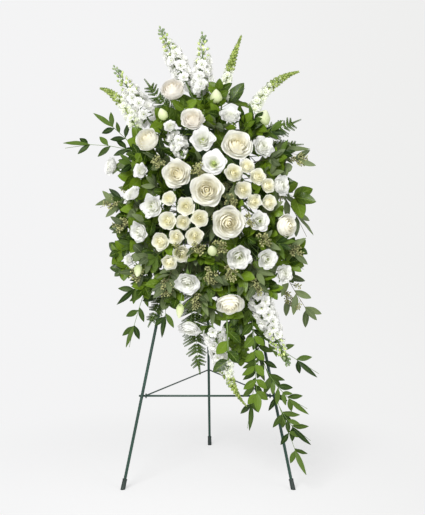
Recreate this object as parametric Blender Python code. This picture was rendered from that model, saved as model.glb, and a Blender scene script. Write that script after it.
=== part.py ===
"""Standing funeral spray: white roses, spray roses, lisianthus, stock and snapdragons with mixed
greens. Their stems stand in a caged block of floral foam, which hangs on a folding tripod easel.

Metres, +Z up. The viewer stands at -Y, and the floor is at Z = 0.
Tables give places on the front of the spray in centimetres: x to the right of the easel's middle,
z above the floor, and how far a thing stands out in front of the plane of the easel's front legs.
"""

import math
import random

import bmesh
import bpy
from mathutils import Matrix, Vector
from mathutils.bvhtree import BVHTree

CM = 0.01
MM = 0.001
GAP = 0.3 * MM  # between pieces that touch on the real thing

# Easel
APEX_HEIGHT = 1.28  # where the front legs meet the head
FRONT_SPREAD = 0.272  # half the distance between the front feet
APEX_SPREAD = 0.012  # half the distance between the front legs at the head
FRONT_FOOT_Y = -0.25
REAR_FOOT_Y = 0.28
REAR_FOOT_X = 0.004
FRONT_LEG_RADIUS = 5 * MM
REAR_LEG_RADIUS = 4.5 * MM
BAR_RADIUS = 3.2 * MM
WIRE_RADIUS = 2.4 * MM
CROSSBAR_HEIGHT = 0.289
CROSSBAR_OVERHANG = 0.010  # how far the crossbar runs past each front leg
BRACE_REAR_HEIGHT = 0.290  # where the brace wire hooks round the rear leg
HANGER_HEIGHTS = (0.80, 1.11)  # the two bars that carry the foam cage
TIP_RADIUS = 7.5 * MM
TIP_LENGTH = 34 * MM
PIVOT_X = -0.010
PIVOT_Y = 0.018
PIVOT_HEIGHT = 1.268
PIN_RADIUS = 2.5 * MM
EYE_CLEARANCE = 0.3 * MM
LEG_SIDES = 8

# Foam and cage, measured from the plane of the front legs
FOAM_HEIGHT_ABOVE_FLOOR = 0.95
FOAM_HALF_WIDTH = 0.100
FOAM_HALF_LENGTH = 0.180
FOAM_BACK = 15.5 * MM
FOAM_FRONT = 100.5 * MM
CAGE_WALL = 2.5 * MM
CAGE_WALL_TOP = 45 * MM
BAND_WIDTH = 8 * MM
BAND_PLACES = (-0.060, 0.060)
HOLE_DEPTH = 30 * MM
HOLE_CLEARANCE = 0.5 * MM
STALK_SIDES = 4

# The rounded front that the flower heads lie on
DOME_HEIGHT = 0.93
DOME_HALF_WIDTH = 0.335
DOME_HALF_LENGTH = 0.46
EDGE_RISE = 0.075
DOME_RISE = 0.195

ROUTE_STEPS = 2  # straight parts that a stem to a flower is drawn with
BRANCH_STEPS = 6  # and a branch of leaves
SPIKE_STEPS = 6  # and a snapdragon
SPIKE_WHORLS = 8
SEEDS_ON_TWIG = 3

# How far a leaf's edges are folded up from its rib, and its tip curls back, as shares of its size
FOLD = 0.16
CURL = 0.14

# Degrees of pitch and of roll that a leaf is turned by where the plain one would meet something
LEAF_TURNS = (
    (0, 0), (14, 0), (-14, 0), (0, 20), (0, -20), (28, 0), (-26, 0), (22, 20), (22, -20), (40, 0), (-40, 0),
)

# name: x, z, diameter, centimetres behind the dome, the way it faces, root bundle
ROSES = {
    "rose_crown": (-11.2, 127.0, 8.6, 3.0, (-0.15, -0.75, 0.65), "upper"),
    "rose_left_shoulder": (-18.9, 111.0, 8.3, 1.0, (-0.4, -0.8, 0.45), "upper"),
    "rose_upper": (-4.8, 117.8, 7.7, 3.0, (0.0, -0.85, 0.5), "upper"),
    "rose_right_shoulder": (9.2, 109.8, 9.6, 1.0, (0.15, -0.92, 0.35), "upper"),
    "rose_left": (-9.6, 100.8, 9.0, 0.5, (-0.15, -0.95, 0.15), "lower"),
    "rose_middle": (-0.3, 95.8, 10.2, -1.0, (0.0, -0.98, 0.1), "lower"),
    "rose_heart": (6.4, 85.8, 10.2, 0.0, (0.1, -0.97, -0.05), "lower"),
    "rose_right": (24.3, 84.5, 7.8, 1.5, (0.6, -0.75, 0.05), "lower"),
    "rose_low": (6.9, 60.5, 9.0, 0.0, (0.05, -0.72, -0.7), "lower"),
}

# spray: heads as x, z, diameter, centimetres behind the dome, the way it faces
LISIANTHUS = {
    "lisianthus_upper_right": [
        (7.0, 118.7, 6.6, 2.0, (0.1, -0.7, 0.7)),
        (17.3, 109.1, 7.2, 2.0, (0.45, -0.8, 0.35)),
    ],
    "lisianthus_upper": [
        (-1.6, 111.2, 7.6, 1.5, (0.0, -0.95, 0.3)),
        (1.9, 104.2, 8.0, 1.0, (0.05, -0.95, 0.3)),
        (-11.8, 115.4, 4.2, 3.0, (-0.2, -0.8, 0.5)),
    ],
    "lisianthus_left": [
        (-31.0, 103.0, 6.2, 0.0, (-0.85, -0.45, 0.25)),
        (-21.0, 101.6, 4.8, 1.5, (-0.4, -0.85, 0.3)),
        (-23.4, 94.6, 5.6, 0.5, (-0.5, -0.55, 0.65)),
        (-17.3, 90.6, 7.4, 0.5, (-0.5, -0.85, 0.05)),
        (-21.4, 82.6, 6.6, 1.0, (-0.6, -0.78, -0.15)),
        (-24.8, 74.0, 3.6, 1.0, (-0.6, -0.7, 0.2)),
    ],
    "lisianthus_right": [
        (22.9, 97.0, 7.0, 1.0, (0.75, -0.65, 0.15)),
        (16.0, 86.2, 6.4, 0.5, (0.3, -0.93, 0.1)),
    ],
    "lisianthus_lower_right": [
        (9.6, 75.0, 7.8, 1.0, (0.1, -0.93, -0.25)),
        (18.4, 74.4, 6.6, 1.0, (0.35, -0.9, -0.1)),
        (24.0, 69.4, 6.4, 1.5, (0.6, -0.75, 0.1)),
    ],
    "lisianthus_low": [
        (-6.1, 67.2, 7.7, 0.5, (-0.1, -0.9, -0.42)),
        (-5.8, 52.5, 7.4, 0.5, (-0.15, -0.55, -0.8)),
    ],
}

# spray: closed buds as x, z, diameter, length, centimetres behind the dome, the way each points
LISIANTHUS_BUDS = {
    "lisianthus_upper_right": [
        (2.6, 124.8, 3.2, 4.6, 3.0, (0.0, -0.35, 0.95)),
        (17.4, 118.2, 4.2, 5.2, 3.0, (0.35, -0.4, 0.85)),
    ],
    "lisianthus_upper": [(-14.2, 119.2, 2.6, 4.0, 2.0, (-0.3, -0.5, 0.85))],
    "lisianthus_left": [(-21.6, 70.6, 2.2, 4.2, 0.5, (-0.1, -0.6, -0.8))],
    "lisianthus_lower_right": [(1.3, 77.6, 2.4, 4.2, 0.5, (-0.1, -0.7, 0.6))],
    "lisianthus_low": [(-8.6, 58.6, 2.0, 4.6, -0.5, (-0.1, -0.35, -0.93))],
}

# cluster: heads as x, z, diameter, centimetres behind the dome, the way it faces
SPRAY_ROSES = {
    "spray_roses_left": [
        (-6.7, 90.8, 5.2, 0.2, (-0.1, -0.97, 0.15)),
        (-11.9, 93.2, 4.2, 0.2, (-0.25, -0.9, 0.3)),
        (-7.6, 86.0, 4.4, 1.6, (-0.1, -0.98, 0.0)),
        (-2.5, 87.2, 5.0, 0.6, (0.0, -0.99, 0.0)),
        (-12.4, 86.4, 5.2, 0.2, (-0.25, -0.95, 0.05)),
        (-9.6, 81.4, 4.4, 0.4, (-0.15, -0.97, -0.1)),
        (-4.0, 81.8, 5.0, 0.4, (0.0, -0.98, -0.1)),
        (-14.6, 80.0, 5.2, 0.6, (-0.35, -0.92, -0.1)),
        (-7.9, 76.2, 5.0, 1.2, (-0.1, -0.96, -0.2)),
        (-11.8, 73.6, 4.6, 0.6, (-0.15, -0.92, -0.35)),
    ],
    "spray_roses_right": [
        (7.9, 101.0, 5.2, 0.2, (0.15, -0.96, 0.15)),
        (12.2, 103.0, 4.4, 1.0, (0.25, -0.85, 0.4)),
        (15.4, 99.8, 4.8, 0.4, (0.3, -0.9, 0.25)),
        (18.6, 97.0, 4.4, 0.4, (0.45, -0.85, 0.15)),
        (10.8, 95.8, 5.0, 0.4, (0.2, -0.96, 0.05)),
        (14.2, 92.2, 4.4, 0.4, (0.25, -0.95, 0.0)),
        (19.0, 91.9, 4.6, 0.8, (0.45, -0.88, 0.05)),
    ],
}

# name: root, base and tip of the flowering part as x, z, rise, its width, whorls of florets
STOCK = {
    "stock_crown_left": (("top", -3.0, 6.6), (-6.6, 128.8, 9.0), (-15.6, 147.4, 8.0), 8.2, 7),
    "stock_crown": (("top", 0.4, 7.4), (-2.0, 126.4, 10.0), (-1.6, 144.6, 9.0), 8.0, 7),
    "stock_upper_left": (("left", 14.6, 6.8), (-19.0, 117.4, 7.5), (-30.2, 134.4, 6.5), 8.2, 7),
    "stock_middle": (("front", -7.4, 13.6), (-10.0, 111.6, 16.0), (-7.8, 106.0, 25.0), 7.0, 4),
    "stock_lower_right": (("bottom", 7.6, 6.6), (15.4, 63.0, 15.0), (25.0, 41.4, 12.0), 8.0, 7),
    "stock_low": (("bottom", 2.4, 5.4), (1.8, 51.6, 13.0), (6.8, 35.2, 10.0), 8.0, 6),
}

# name: root, start, bend and tip of the flowering part as x, z, rise, its width
SNAPDRAGONS = {
    "snapdragon_crown": (("top", 4.2, 6.4), (4.6, 124.0, 9.0), (6.4, 134.0, 9.5), (10.8, 145.0, 8.0), 5.2),
    "snapdragon_right": (("top", 7.6, 7.2), (14.4, 120.6, 8.0), (20.0, 131.0, 8.5), (29.4, 133.4, 7.0), 5.4),
    "snapdragon_left": (
        ("left", 15.6, 8.8), (-22.8, 115.0, 14.0), (-28.6, 126.6, 14.0), (-34.4, 127.6, 12.0), 5.0,
    ),
    "snapdragon_low": (("bottom", 5.4, 8.6), (6.4, 43.0, 16.0), (6.2, 35.0, 15.0), (12.0, 28.6, 12.0), 4.0),
}

# Roots of the bundles that go into the front of the foam: centimetres right and up from its middle
BUNDLE_ROOTS = {
    "rose_stems_upper": ("front", -2.0, 12.0),
    "rose_stems_lower": ("front", 1.6, 0.4),
    "spray_roses_left": ("front", -3.4, -3.4),
    "spray_roses_right": ("front", 5.4, 9.6),
    "lisianthus_upper_right": ("front", 4.6, 14.4),
    "lisianthus_upper": ("front", -4.6, 8.6),
    "lisianthus_left": ("front", -7.8, 2.0),
    "lisianthus_right": ("front", 7.4, 1.8),
    "lisianthus_lower_right": ("front", 4.6, -8.8),
    "lisianthus_low": ("front", -2.6, -12.6),
}

# Leaf shapes: length and width in centimetres, degrees from the stem, centimetres between leaves,
# whether they stand in pairs, and the half width at places along the blade
LEAF_KINDS = {
    "ruscus": (5.8, 2.0, 40, 5.0, True, ((0.45, 1.0),)),
    "broad_ruscus": (5.6, 2.9, 46, 3.8, True, ((0.5, 1.0),)),
    "salal": (9.0, 5.3, 54, 5.3, True, ((0.36, 0.85), (0.7, 0.9))),
    "small_salal": (6.8, 4.2, 54, 4.4, True, ((0.36, 0.85), (0.7, 0.9))),
    "silver_dollar": (5.0, 4.0, 64, 4.6, True, ((0.36, 0.9), (0.74, 0.86))),
    "long_eucalyptus": (7.6, 2.4, 36, 5.8, True, ((0.45, 1.0),)),
    "fern": (0.0, 1.3, 58, 2.5, True, ()),
}

# node: root, then branches. A branch starts at a share of the first branch, or at the root, and
# bends by way of points x, z, rise. It bears leaves of its kind from a share of its length, and a
# number of twigs with seeds.
GREENS = {
    "ruscus_left": (("left", 7.6, 7.4), [
        (None, ((-22.0, 108.0, 9.0), (-34.0, 112.0, 8.0), (-46.4, 108.6, 6.0)), "ruscus", 0.40, 0),
        (0.45, ((-30.0, 116.0, 8.0), (-36.0, 119.0, 6.0)), "ruscus", 0.15, 0),
    ]),
    "seeded_eucalyptus_left": (("left", 0.8, 7.4), [
        (None, ((-18.0, 96.0, 9.0), (-27.0, 94.0, 10.0), (-34.6, 89.6, 8.0)), "long_eucalyptus", 0.35, 4),
        (0.3, ((-22.0, 89.0, 12.0), (-27.6, 84.6, 11.0)), "long_eucalyptus", 0.3, 2),
    ]),
    "seeded_eucalyptus_right": (("right", 12.0, 7.4), [
        (None, ((16.0, 104.0, 9.0), (24.0, 108.0, 8.0), (31.4, 106.0, 7.0)), "long_eucalyptus", 0.4, 4),
        (None, ((21.0, 99.0, 4.0), (28.0, 90.0, 3.0), (32.0, 80.0, 3.0)), "long_eucalyptus", 0.5, 3),
    ]),
    "seeded_eucalyptus_middle": (("front", 0.6, 4.9), [
        (None, ((2.0, 94.0, 15.0), (1.6, 86.0, 18.0), (0.4, 79.0, 20.0)), "long_eucalyptus", 0.4, 3),
        (None, ((6.0, 98.0, 15.0), (11.0, 92.0, 17.0), (13.6, 84.0, 19.0)), "long_eucalyptus", 0.3, 3),
        (None, ((2.0, 101.0, 14.0), (-3.0, 105.0, 17.0), (-4.0, 104.0, 20.0)), "long_eucalyptus", 0.4, 2),
    ]),
    "seeded_eucalyptus_lower_right": (("right", -3.8, 8.4), [
        (None, ((18.0, 80.0, 9.0), (25.0, 66.0, 8.0), (30.6, 58.0, 7.0), (34.0, 54.0, 6.0)),
         "long_eucalyptus", 0.35, 4),
    ]),
    "silver_dollar_left": (("left", 11.0, 5.4), [
        (None, ((-18.0, 106.0, 6.0), (-26.0, 104.6, 6.0), (-32.4, 103.0, 5.0)), "silver_dollar", 0.2, 0),
        (0.3, ((-22.0, 100.0, 9.0), (-27.0, 99.0, 10.0)), "silver_dollar", 0.2, 0),
    ]),
    "silver_dollar_low": (("bottom", -0.6, 8.4), [
        (None, ((0.0, 70.0, 13.0), (1.0, 62.0, 14.0), (2.0, 54.0, 14.0)), "long_eucalyptus", 0.2, 0),
        (None, ((-8.0, 72.0, 11.0), (-12.0, 66.0, 11.0), (-14.0, 58.0, 11.0)), "silver_dollar", 0.3, 0),
    ]),
    "ruscus_lower_left": (("left", -14.4, 7.4), [
        (None, ((-17.0, 68.0, 8.0), (-22.0, 58.0, 8.0), (-25.0, 45.6, 7.0)), "ruscus", 0.30, 0),
        (0.4, ((-22.0, 64.0, 9.0), (-29.0, 59.0, 8.0)), "ruscus", 0.15, 0),
        (0.3, ((-12.0, 60.0, 12.0), (-14.0, 50.0, 10.0)), "ruscus", 0.15, 0),
    ]),
    "ruscus_trail": (("bottom", 5.2, 5.4), [
        (None, ((9.0, 64.0, 8.0), (14.0, 52.0, 9.0), (19.0, 38.0, 8.0), (24.0, 22.0, 6.0), (30.0, 7.0, 5.0)),
         "ruscus", 0.36, 0),
        (0.42, ((25.0, 44.0, 9.0), (35.0, 37.6, 8.0)), "ruscus", 0.15, 0),
        (0.60, ((24.0, 29.0, 8.0), (31.4, 26.6, 7.0)), "ruscus", 0.15, 0),
        (0.52, ((14.0, 32.0, 8.0), (12.4, 20.6, 7.0)), "ruscus", 0.15, 0),
        (0.76, ((27.0, 19.0, 6.0), (32.4, 16.6, 6.0)), "ruscus", 0.15, 0),
    ]),
    "broad_ruscus_trail": (("bottom", 8.8, 8.8), [
        (None, ((13.0, 66.0, 12.0), (13.6, 52.0, 14.0), (13.0, 38.0, 13.0), (15.4, 27.6, 11.0)),
         "broad_ruscus", 0.2, 0),
        (0.3, ((18.0, 58.0, 11.0), (22.0, 46.0, 11.0)), "broad_ruscus", 0.1, 0),
        (None, ((5.0, 66.0, 11.0), (2.0, 58.0, 11.0), (-1.0, 48.0, 11.0)), "broad_ruscus", 0.2, 0),
    ]),
    "salal_left": (("left", -8.4, 6.6), [
        (None, ((-16.0, 82.0, 8.0), (-22.0, 78.0, 9.0), (-26.4, 76.0, 8.0)), "salal", 0.24, 0),
        (0.3, ((-18.0, 72.0, 11.0), (-21.0, 66.4, 10.0)), "salal", 0.2, 0),
        (0.1, ((-16.0, 88.0, 13.0), (-12.0, 82.0, 16.0), (-6.0, 76.0, 16.0)), "salal", 0.2, 0),
    ]),
    "salal_right": (("right", 4.4, 6.8), [
        (None, ((17.0, 96.0, 7.0), (26.0, 92.6, 7.0), (33.6, 91.0, 7.0)), "salal", 0.24, 0),
        (0.2, ((20.0, 101.0, 8.0), (25.6, 105.6, 7.0)), "salal", 0.2, 0),
        (0.1, ((15.0, 106.0, 7.0), (17.0, 114.0, 6.0), (19.0, 121.0, 6.0)), "salal", 0.4, 0),
        (0.1, ((15.0, 98.0, 13.0), (12.0, 106.0, 15.0), (4.0, 110.0, 14.0)), "salal", 0.2, 0),
    ]),
    "salal_lower": (("right", -12.4, 6.8), [
        (None, ((17.0, 78.0, 7.0), (25.0, 75.0, 6.0), (30.6, 70.0, 7.0)), "salal", 0.24, 0),
        (0.16, ((12.0, 60.0, 10.0), (9.0, 54.6, 12.0)), "salal", 0.2, 0),
        (0.1, ((14.0, 78.0, 14.0), (6.0, 72.0, 16.0), (-2.0, 70.0, 16.0)), "salal", 0.2, 0),
    ]),
    "salal_upper": (("top", -5.4, 9.0), [
        (None, ((-7.4, 118.6, 10.0), (-4.4, 124.6, 7.0), (0.4, 131.4, 6.0)), "salal", 0.2, 0),
        (0.1, ((-14.0, 116.0, 9.0), (-22.0, 108.6, 11.0)), "salal", 0.3, 0),
        (None, ((2.0, 120.0, 9.0), (8.0, 122.0, 8.0), (12.0, 128.0, 7.0)), "salal", 0.2, 0),
    ]),
    "salal_middle": (("front", 1.4, 7.6), [
        (None, ((4.0, 104.0, 14.0), (4.0, 110.0, 15.0), (7.0, 118.0, 15.0)), "small_salal", 0.2, 0),
        (None, ((-3.0, 102.0, 13.5), (-8.0, 107.0, 14.0), (-15.0, 108.0, 13.0)), "small_salal", 0.2, 0),
        (None, ((8.0, 96.0, 14.0), (12.0, 88.0, 15.0), (13.0, 80.0, 16.0)), "small_salal", 0.2, 0),
        (None, ((-2.0, 95.0, 14.0), (-5.0, 88.0, 15.0), (-5.0, 80.0, 16.0)), "small_salal", 0.2, 0),
    ]),
}

# node: root, then fronds. A frond runs from the root by way of a point to its tip, as x, z, rise,
# and has that greatest width
FERNS = {
    "fern_upper_left": (("top", -7.8, 6.4), [(((-13.0, 119.0, 6.0), (-20.6, 131.0, 5.0)), 11.0)]),
    "fern_right": (("right", 15.4, 5.4), [
        (((18.0, 112.0, 5.0), (30.0, 118.0, 4.0)), 12.0),
        (((20.0, 108.0, 6.0), (30.6, 110.0, 6.0)), 9.0),
    ]),
    "fern_low": (("bottom", -3.0, 6.4), [
        (((-6.0, 60.0, 8.0), (-2.6, 37.4, 6.0)), 16.0),
        (((-14.0, 64.0, 6.0), (-19.0, 52.0, 6.0)), 11.0),
    ]),
}

# name: colour, roughness, metallic
MATERIALS = {
    "painted_steel": ((0.02, 0.075, 0.05), 0.4, 0.6),
    "tip_plastic": ((0.012, 0.03, 0.025), 0.5, 0.0),
    "cage_plastic": ((0.03, 0.11, 0.04), 0.5, 0.0),
    "foam": ((0.06, 0.16, 0.07), 0.95, 0.0),
    "rose_petal": ((0.87, 0.83, 0.69), 0.5, 0.0),
    "spray_rose_petal": ((0.86, 0.81, 0.62), 0.5, 0.0),
    "lisianthus_petal": ((0.88, 0.88, 0.84), 0.5, 0.0),
    "stock_petal": ((0.86, 0.87, 0.82), 0.55, 0.0),
    "snapdragon_petal": ((0.72, 0.8, 0.5), 0.5, 0.0),
    "flower_stem": ((0.12, 0.26, 0.05), 0.5, 0.0),
    "ruscus_leaf": ((0.06, 0.18, 0.025), 0.4, 0.0),
    "broad_leaf": ((0.08, 0.26, 0.02), 0.35, 0.0),
    "eucalyptus_leaf": ((0.2, 0.31, 0.2), 0.6, 0.0),
    "eucalyptus_seed": ((0.3, 0.36, 0.14), 0.6, 0.0),
    "fern_leaf": ((0.035, 0.13, 0.025), 0.5, 0.0),
}

# Each profile runs from the base ring to the middle of the flower: radius and height as shares of
# the flower's radius, how far petals wave there, how far each laps the next, and petals round
ROSE_PROFILE = (
    (0.34, 0.04, 0.0, 0.0, 5),
    (1.0, 0.68, 0.16, 0.08, 5),
    (0.76, 0.56, 0.0, 0.02, 5),
    (0.70, 1.00, 0.12, 0.08, 5),
    (0.42, 0.76, 0.0, 0.02, 3),
    (0.32, 1.12, 0.10, 0.10, 3),
)
SPRAY_ROSE_PROFILE = (
    (0.30, 0.02, 0.0, 0.0, 5),
    (1.0, 0.72, 0.14, 0.06, 5),
    (0.66, 0.60, 0.0, 0.0, 5),
    (0.52, 1.04, 0.12, 0.06, 5),
)
LISIANTHUS_PROFILE = (
    (0.26, 0.02, 0.0, 0.0, 5),
    (1.0, 0.84, 0.18, 0.08, 5),
    (0.66, 0.66, 0.0, 0.0, 5),
    (0.58, 1.06, 0.16, 0.06, 5),
)
ROSE_CENTRE = 0.98
SPRAY_ROSE_CENTRE = 0.84
LISIANTHUS_CENTRE = 0.55

roots = []  # (point, direction, radius) of each stem in the foam, for its hole
obstacles = []  # (name, tree, low corner, high corner) of what is built or planned so far
growing = [None]  # the name of the node that is being built, which isn't in its own way


def clear_scene():
    for thing in list(bpy.data.objects):
        bpy.data.objects.remove(thing)


def leg_plane_y(height):
    """Y of the plane of the front legs at a height."""
    return FRONT_FOOT_Y * (1 - height / APEX_HEIGHT)


def plane_up():
    return Vector((0, -FRONT_FOOT_Y, APEX_HEIGHT)).normalized()


def plane_out():
    """Away from the plane of the front legs, towards the viewer."""
    return plane_up().cross(Vector((1, 0, 0))) * -1


def on_holder(right, up, out):
    """A point of the foam cage's own frame: metres from the foam's middle line on the leg plane."""
    middle = Vector((0, leg_plane_y(FOAM_HEIGHT_ABOVE_FLOOR), FOAM_HEIGHT_ABOVE_FLOOR))
    return middle + Vector((right, 0, 0)) + plane_up() * up + plane_out() * out


def on_front(x, z, rise):
    """A point given in centimetres, as in the tables."""
    return Vector((x * CM, leg_plane_y(z * CM) - rise * CM, z * CM))


def on_dome(x, z, behind):
    """The point of the rounded front at x and z, pushed back by a few centimetres."""
    share = 1 - (x * CM / DOME_HALF_WIDTH) ** 2 - ((z * CM - DOME_HEIGHT) / DOME_HALF_LENGTH) ** 2
    rise = EDGE_RISE + DOME_RISE * math.sqrt(max(share, 0.0))
    return on_front(x, z, rise / CM - behind)


def foam_root(face, first, second):
    """A root's point on a face of the foam and the way out of it. Front roots are given right and
    up from the middle, side roots up and out, and end roots right and out, in centimetres."""
    out = plane_out()
    if face == "front":
        return on_holder(first * CM, second * CM, FOAM_FRONT), out
    if face in ("left", "right"):
        side = -1 if face == "left" else 1
        return on_holder(side * FOAM_HALF_WIDTH, first * CM, second * CM), Vector((side, 0, 0))
    side = -1 if face == "bottom" else 1
    return on_holder(first * CM, side * FOAM_HALF_LENGTH, second * CM), plane_up() * side


def across(direction):
    """Two unit vectors square to a direction and to each other."""
    helper = Vector((0, 0, 1)) if abs(direction.z) < 0.9 else Vector((1, 0, 0))
    first = direction.cross(helper).normalized()
    return first, direction.cross(first).normalized()


def bezier(controls, steps):
    """Points along the smooth curve that the control points pull."""
    curve = []
    for step in range(steps + 1):
        share = step / steps
        level = list(controls)
        while len(level) > 1:
            level = [a.lerp(b, share) for a, b in zip(level, level[1:])]
        curve.append(level[0])
    return curve


def tangents(points):
    ends = [points[0]] + list(points) + [points[-1]]
    return [(ends[i + 2] - ends[i]).normalized() for i in range(len(points))]


def ring_faces(rings, sides):
    """Quads between rings of equal count, numbered one after another."""
    faces = []
    for ring in range(rings - 1):
        low = ring * sides
        high = low + sides
        for k in range(sides):
            after = (k + 1) % sides
            faces.append((low + k, low + after, high + after, high + k))
    return faces


def tube(points, radii, sides=5):
    """A closed round rod through points. Its flat ends are single faces."""
    if not hasattr(radii, "__len__"):
        radii = [radii] * len(points)
    ways = tangents(points)
    side = across(ways[0])[0]
    vertices = []
    for point, way, radius in zip(points, ways, radii):
        side = (side - way * side.dot(way)).normalized()
        up = way.cross(side)
        for k in range(sides):
            turn = 2 * math.pi * k / sides
            vertices.append(point + (side * math.cos(turn) + up * math.sin(turn)) * radius)
    faces = ring_faces(len(points), sides)
    last = (len(points) - 1) * sides
    faces.append(tuple(reversed(range(sides))))
    faces.append(tuple(range(last, last + sides)))
    return vertices, faces


def box(centre, right, up, out, half):
    """A block with half sizes along three directions."""
    vertices = []
    for a in (-1, 1):
        for b in (-1, 1):
            for c in (-1, 1):
                vertices.append(centre + right * (a * half[0]) + up * (b * half[1]) + out * (c * half[2]))
    faces = [(0, 1, 3, 2), (4, 6, 7, 5), (0, 4, 5, 1), (2, 3, 7, 6), (0, 2, 6, 4), (1, 5, 7, 3)]
    return vertices, faces


def holder_box(low, high):
    """A block of the foam cage between two corners in its own frame."""
    middle = [(a + b) / 2 for a, b in zip(low, high)]
    half = [(b - a) / 2 for a, b in zip(low, high)]
    return box(on_holder(*middle), Vector((1, 0, 0)), plane_up(), plane_out(), half)


def capped_rings(rings, base, tip):
    """A closed solid through rings of points, with a point at each end."""
    sides = len(rings[0])
    vertices = [point for ring in rings for point in ring] + [base, tip]
    faces = ring_faces(len(rings), sides)
    last = (len(rings) - 1) * sides
    for k in range(sides):
        after = (k + 1) % sides
        faces.append((len(vertices) - 2, after, k))
        faces.append((len(vertices) - 1, last + k, last + after))
    return vertices, faces


def pleated_bloom(base, facing, radius, profile, centre_height, sides, spin):
    """A flower whose petal layers are pleats of one skin: it runs up the back, over each layer's
    waved rim and down behind the next, to the middle."""
    side, up = across(facing)
    rings = []
    for level, (ring_radius, height, wave, lap, petals) in enumerate(profile):
        ring = []
        for k in range(sides):
            turn = 2 * math.pi * k / sides
            share = (petals * (k + 0.5) / sides + spin + level * 0.25) % 1.0
            lobe = math.sin(math.pi * share) - 0.6
            reach = radius * ring_radius * (1 + wave * lobe + lap * (share - 0.5))
            lift = radius * (height + 0.6 * wave * lobe)
            ring.append(base + (side * math.cos(turn) + up * math.sin(turn)) * reach + facing * lift)
        rings.append(ring)
    return capped_rings(rings, base - facing * (0.02 * radius), base + facing * (centre_height * radius))


def bud(base, way, length, radius, sides=5):
    """A closed, pointed bud."""
    side, up = across(way)
    rings = []
    for reach, share in ((0.45, 0.06), (1.0, 0.4), (0.62, 0.8)):
        ring = []
        for k in range(sides):
            turn = 2 * math.pi * k / sides
            outward = side * math.cos(turn) + up * math.sin(turn)
            ring.append(base + way * (length * share) + outward * (radius * reach))
        rings.append(ring)
    return capped_rings(rings, base - way * (0.02 * length), base + way * length)


def spike(points, radii, petals, core, lift):
    """A flower spike as one skin: whorls of florets round a slim core, each whorl turned against
    the one below."""
    steps = len(radii)
    sides = 2 * petals
    rings = []
    side = across(tangents(points)[0])[0]
    for k, radius in enumerate(radii):
        for inner in (True, False):
            at, way = along_path(points, (k + (0.1 if inner else lift)) / steps)
            side = (side - way * side.dot(way)).normalized()
            up = way.cross(side)
            ring = []
            for j in range(sides):
                turn = 2 * math.pi * j / sides
                open_side = (j + k) % 2 == 0
                reach = core if inner else radius * (1.0 if open_side else 0.5)
                rise = 0.0 if inner or not open_side else 0.16 * radius
                ring.append(at + (side * math.cos(turn) + up * math.sin(turn)) * reach + way * rise)
            rings.append(ring)
    return capped_rings(rings, points[0], points[-1])


def blade_edge(base, way, lateral, normal, length, width, stations):
    """Edge points of a leaf: out along its lower side, its tip, and back along its upper side. It
    is folded up along its rib and curls back at its tip."""
    lower, upper = [], []
    for share, half_width in stations:
        middle = base + way * (length * share) - normal * (CURL * length * share * share)
        half = 0.5 * width * half_width
        lower.append(middle - lateral * half + normal * (FOLD * half))
        upper.append(middle + lateral * half + normal * (FOLD * half))
    tip = base + way * length - normal * (CURL * length)
    return lower, tip, upper


def lens(edge, base, normal):
    """A thin closed stand-in for a leaf, to test whether it is clear."""
    rim = [base] + edge
    middle = sum(rim, Vector()) / len(rim)
    return capped_rings([rim], middle - normal * MM, middle + normal * MM)


def placed_leaf(at, along, sign, kind, scale, length, thick, holds, rng, taken):
    """Edge points of a leaf at a point of its stem, turned so that it meets nothing, or None. The
    random draws don't depend on what is in its way."""
    _, width, angle, _, _, stations = LEAF_KINDS[kind]
    if not sign:
        stations = stations[-1:]
    width = width * CM * scale * rng.uniform(0.92, 1.08)
    length = length * scale * rng.uniform(0.88, 1.08)
    angle = math.radians(angle + rng.uniform(-7, 7)) if sign else 0.0
    roll = rng.uniform(-16, 16)
    face = facing_out(at, along)
    side = along.cross(face).normalized() * (sign or 1)
    straight = along * math.cos(angle) + side * math.sin(angle)
    flat = (along * math.sin(angle) - side * math.cos(angle)).normalized()
    for pitch, twist in LEAF_TURNS:
        turn = math.radians(pitch)
        way = (straight * math.cos(turn) + face * math.sin(turn)).normalized()
        normal = (face * math.cos(turn) - straight * math.sin(turn)).normalized()
        spin = Matrix.Rotation(math.radians(roll + twist), 3, way)
        lateral, normal = spin @ flat, spin @ normal
        lower, tip, upper = blade_edge(at, way, lateral, normal, length, width, stations)
        if not sign and lateral.dot(side) > 0:
            lower, upper = upper, lower
        rim = [holds[0] + side * thick] + lower + [tip] + upper[::-1] + [holds[1] + side * thick]
        shape = BVHTree.FromPolygons(*lens(rim[1:-1], at + way * (4 * MM), normal))
        if any(shape.overlap(other) for other in taken):
            continue
        if is_clear(capped_rings([rim], at - face * thick, at + face * thick), 0.6 * MM):
            taken.append(shape)
            return lower, tip, upper
    return None


def along_path(points, share):
    """The point at a share of a route and the way that the route has there."""
    place = min(share * (len(points) - 1), len(points) - 1.001)
    index = int(place)
    ways = tangents(points)
    point = points[index].lerp(points[index + 1], place - index)
    return point, ways[index].lerp(ways[index + 1], place - index).normalized()


def stem_line(points, kind, start):
    """The corners of a leafy stem along a route, and how many of them bear no leaf."""
    spacing = LEAF_KINDS[kind][3]
    total = sum((b - a).length for a, b in zip(points, points[1:]))
    count = max(2, round(total * (1 - start) / (spacing * CM)))
    bare = 1 + round(start * total / (8 * CM))
    shares = [start * k / bare for k in range(1, bare)]
    shares += [start + (1 - start) * (k + 0.15) / (count + 0.4) for k in range(count)]
    line = [points[0]] + [along_path(points, share)[0] for share in shares] + [points[-1]]
    return line, bare - 1


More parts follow.
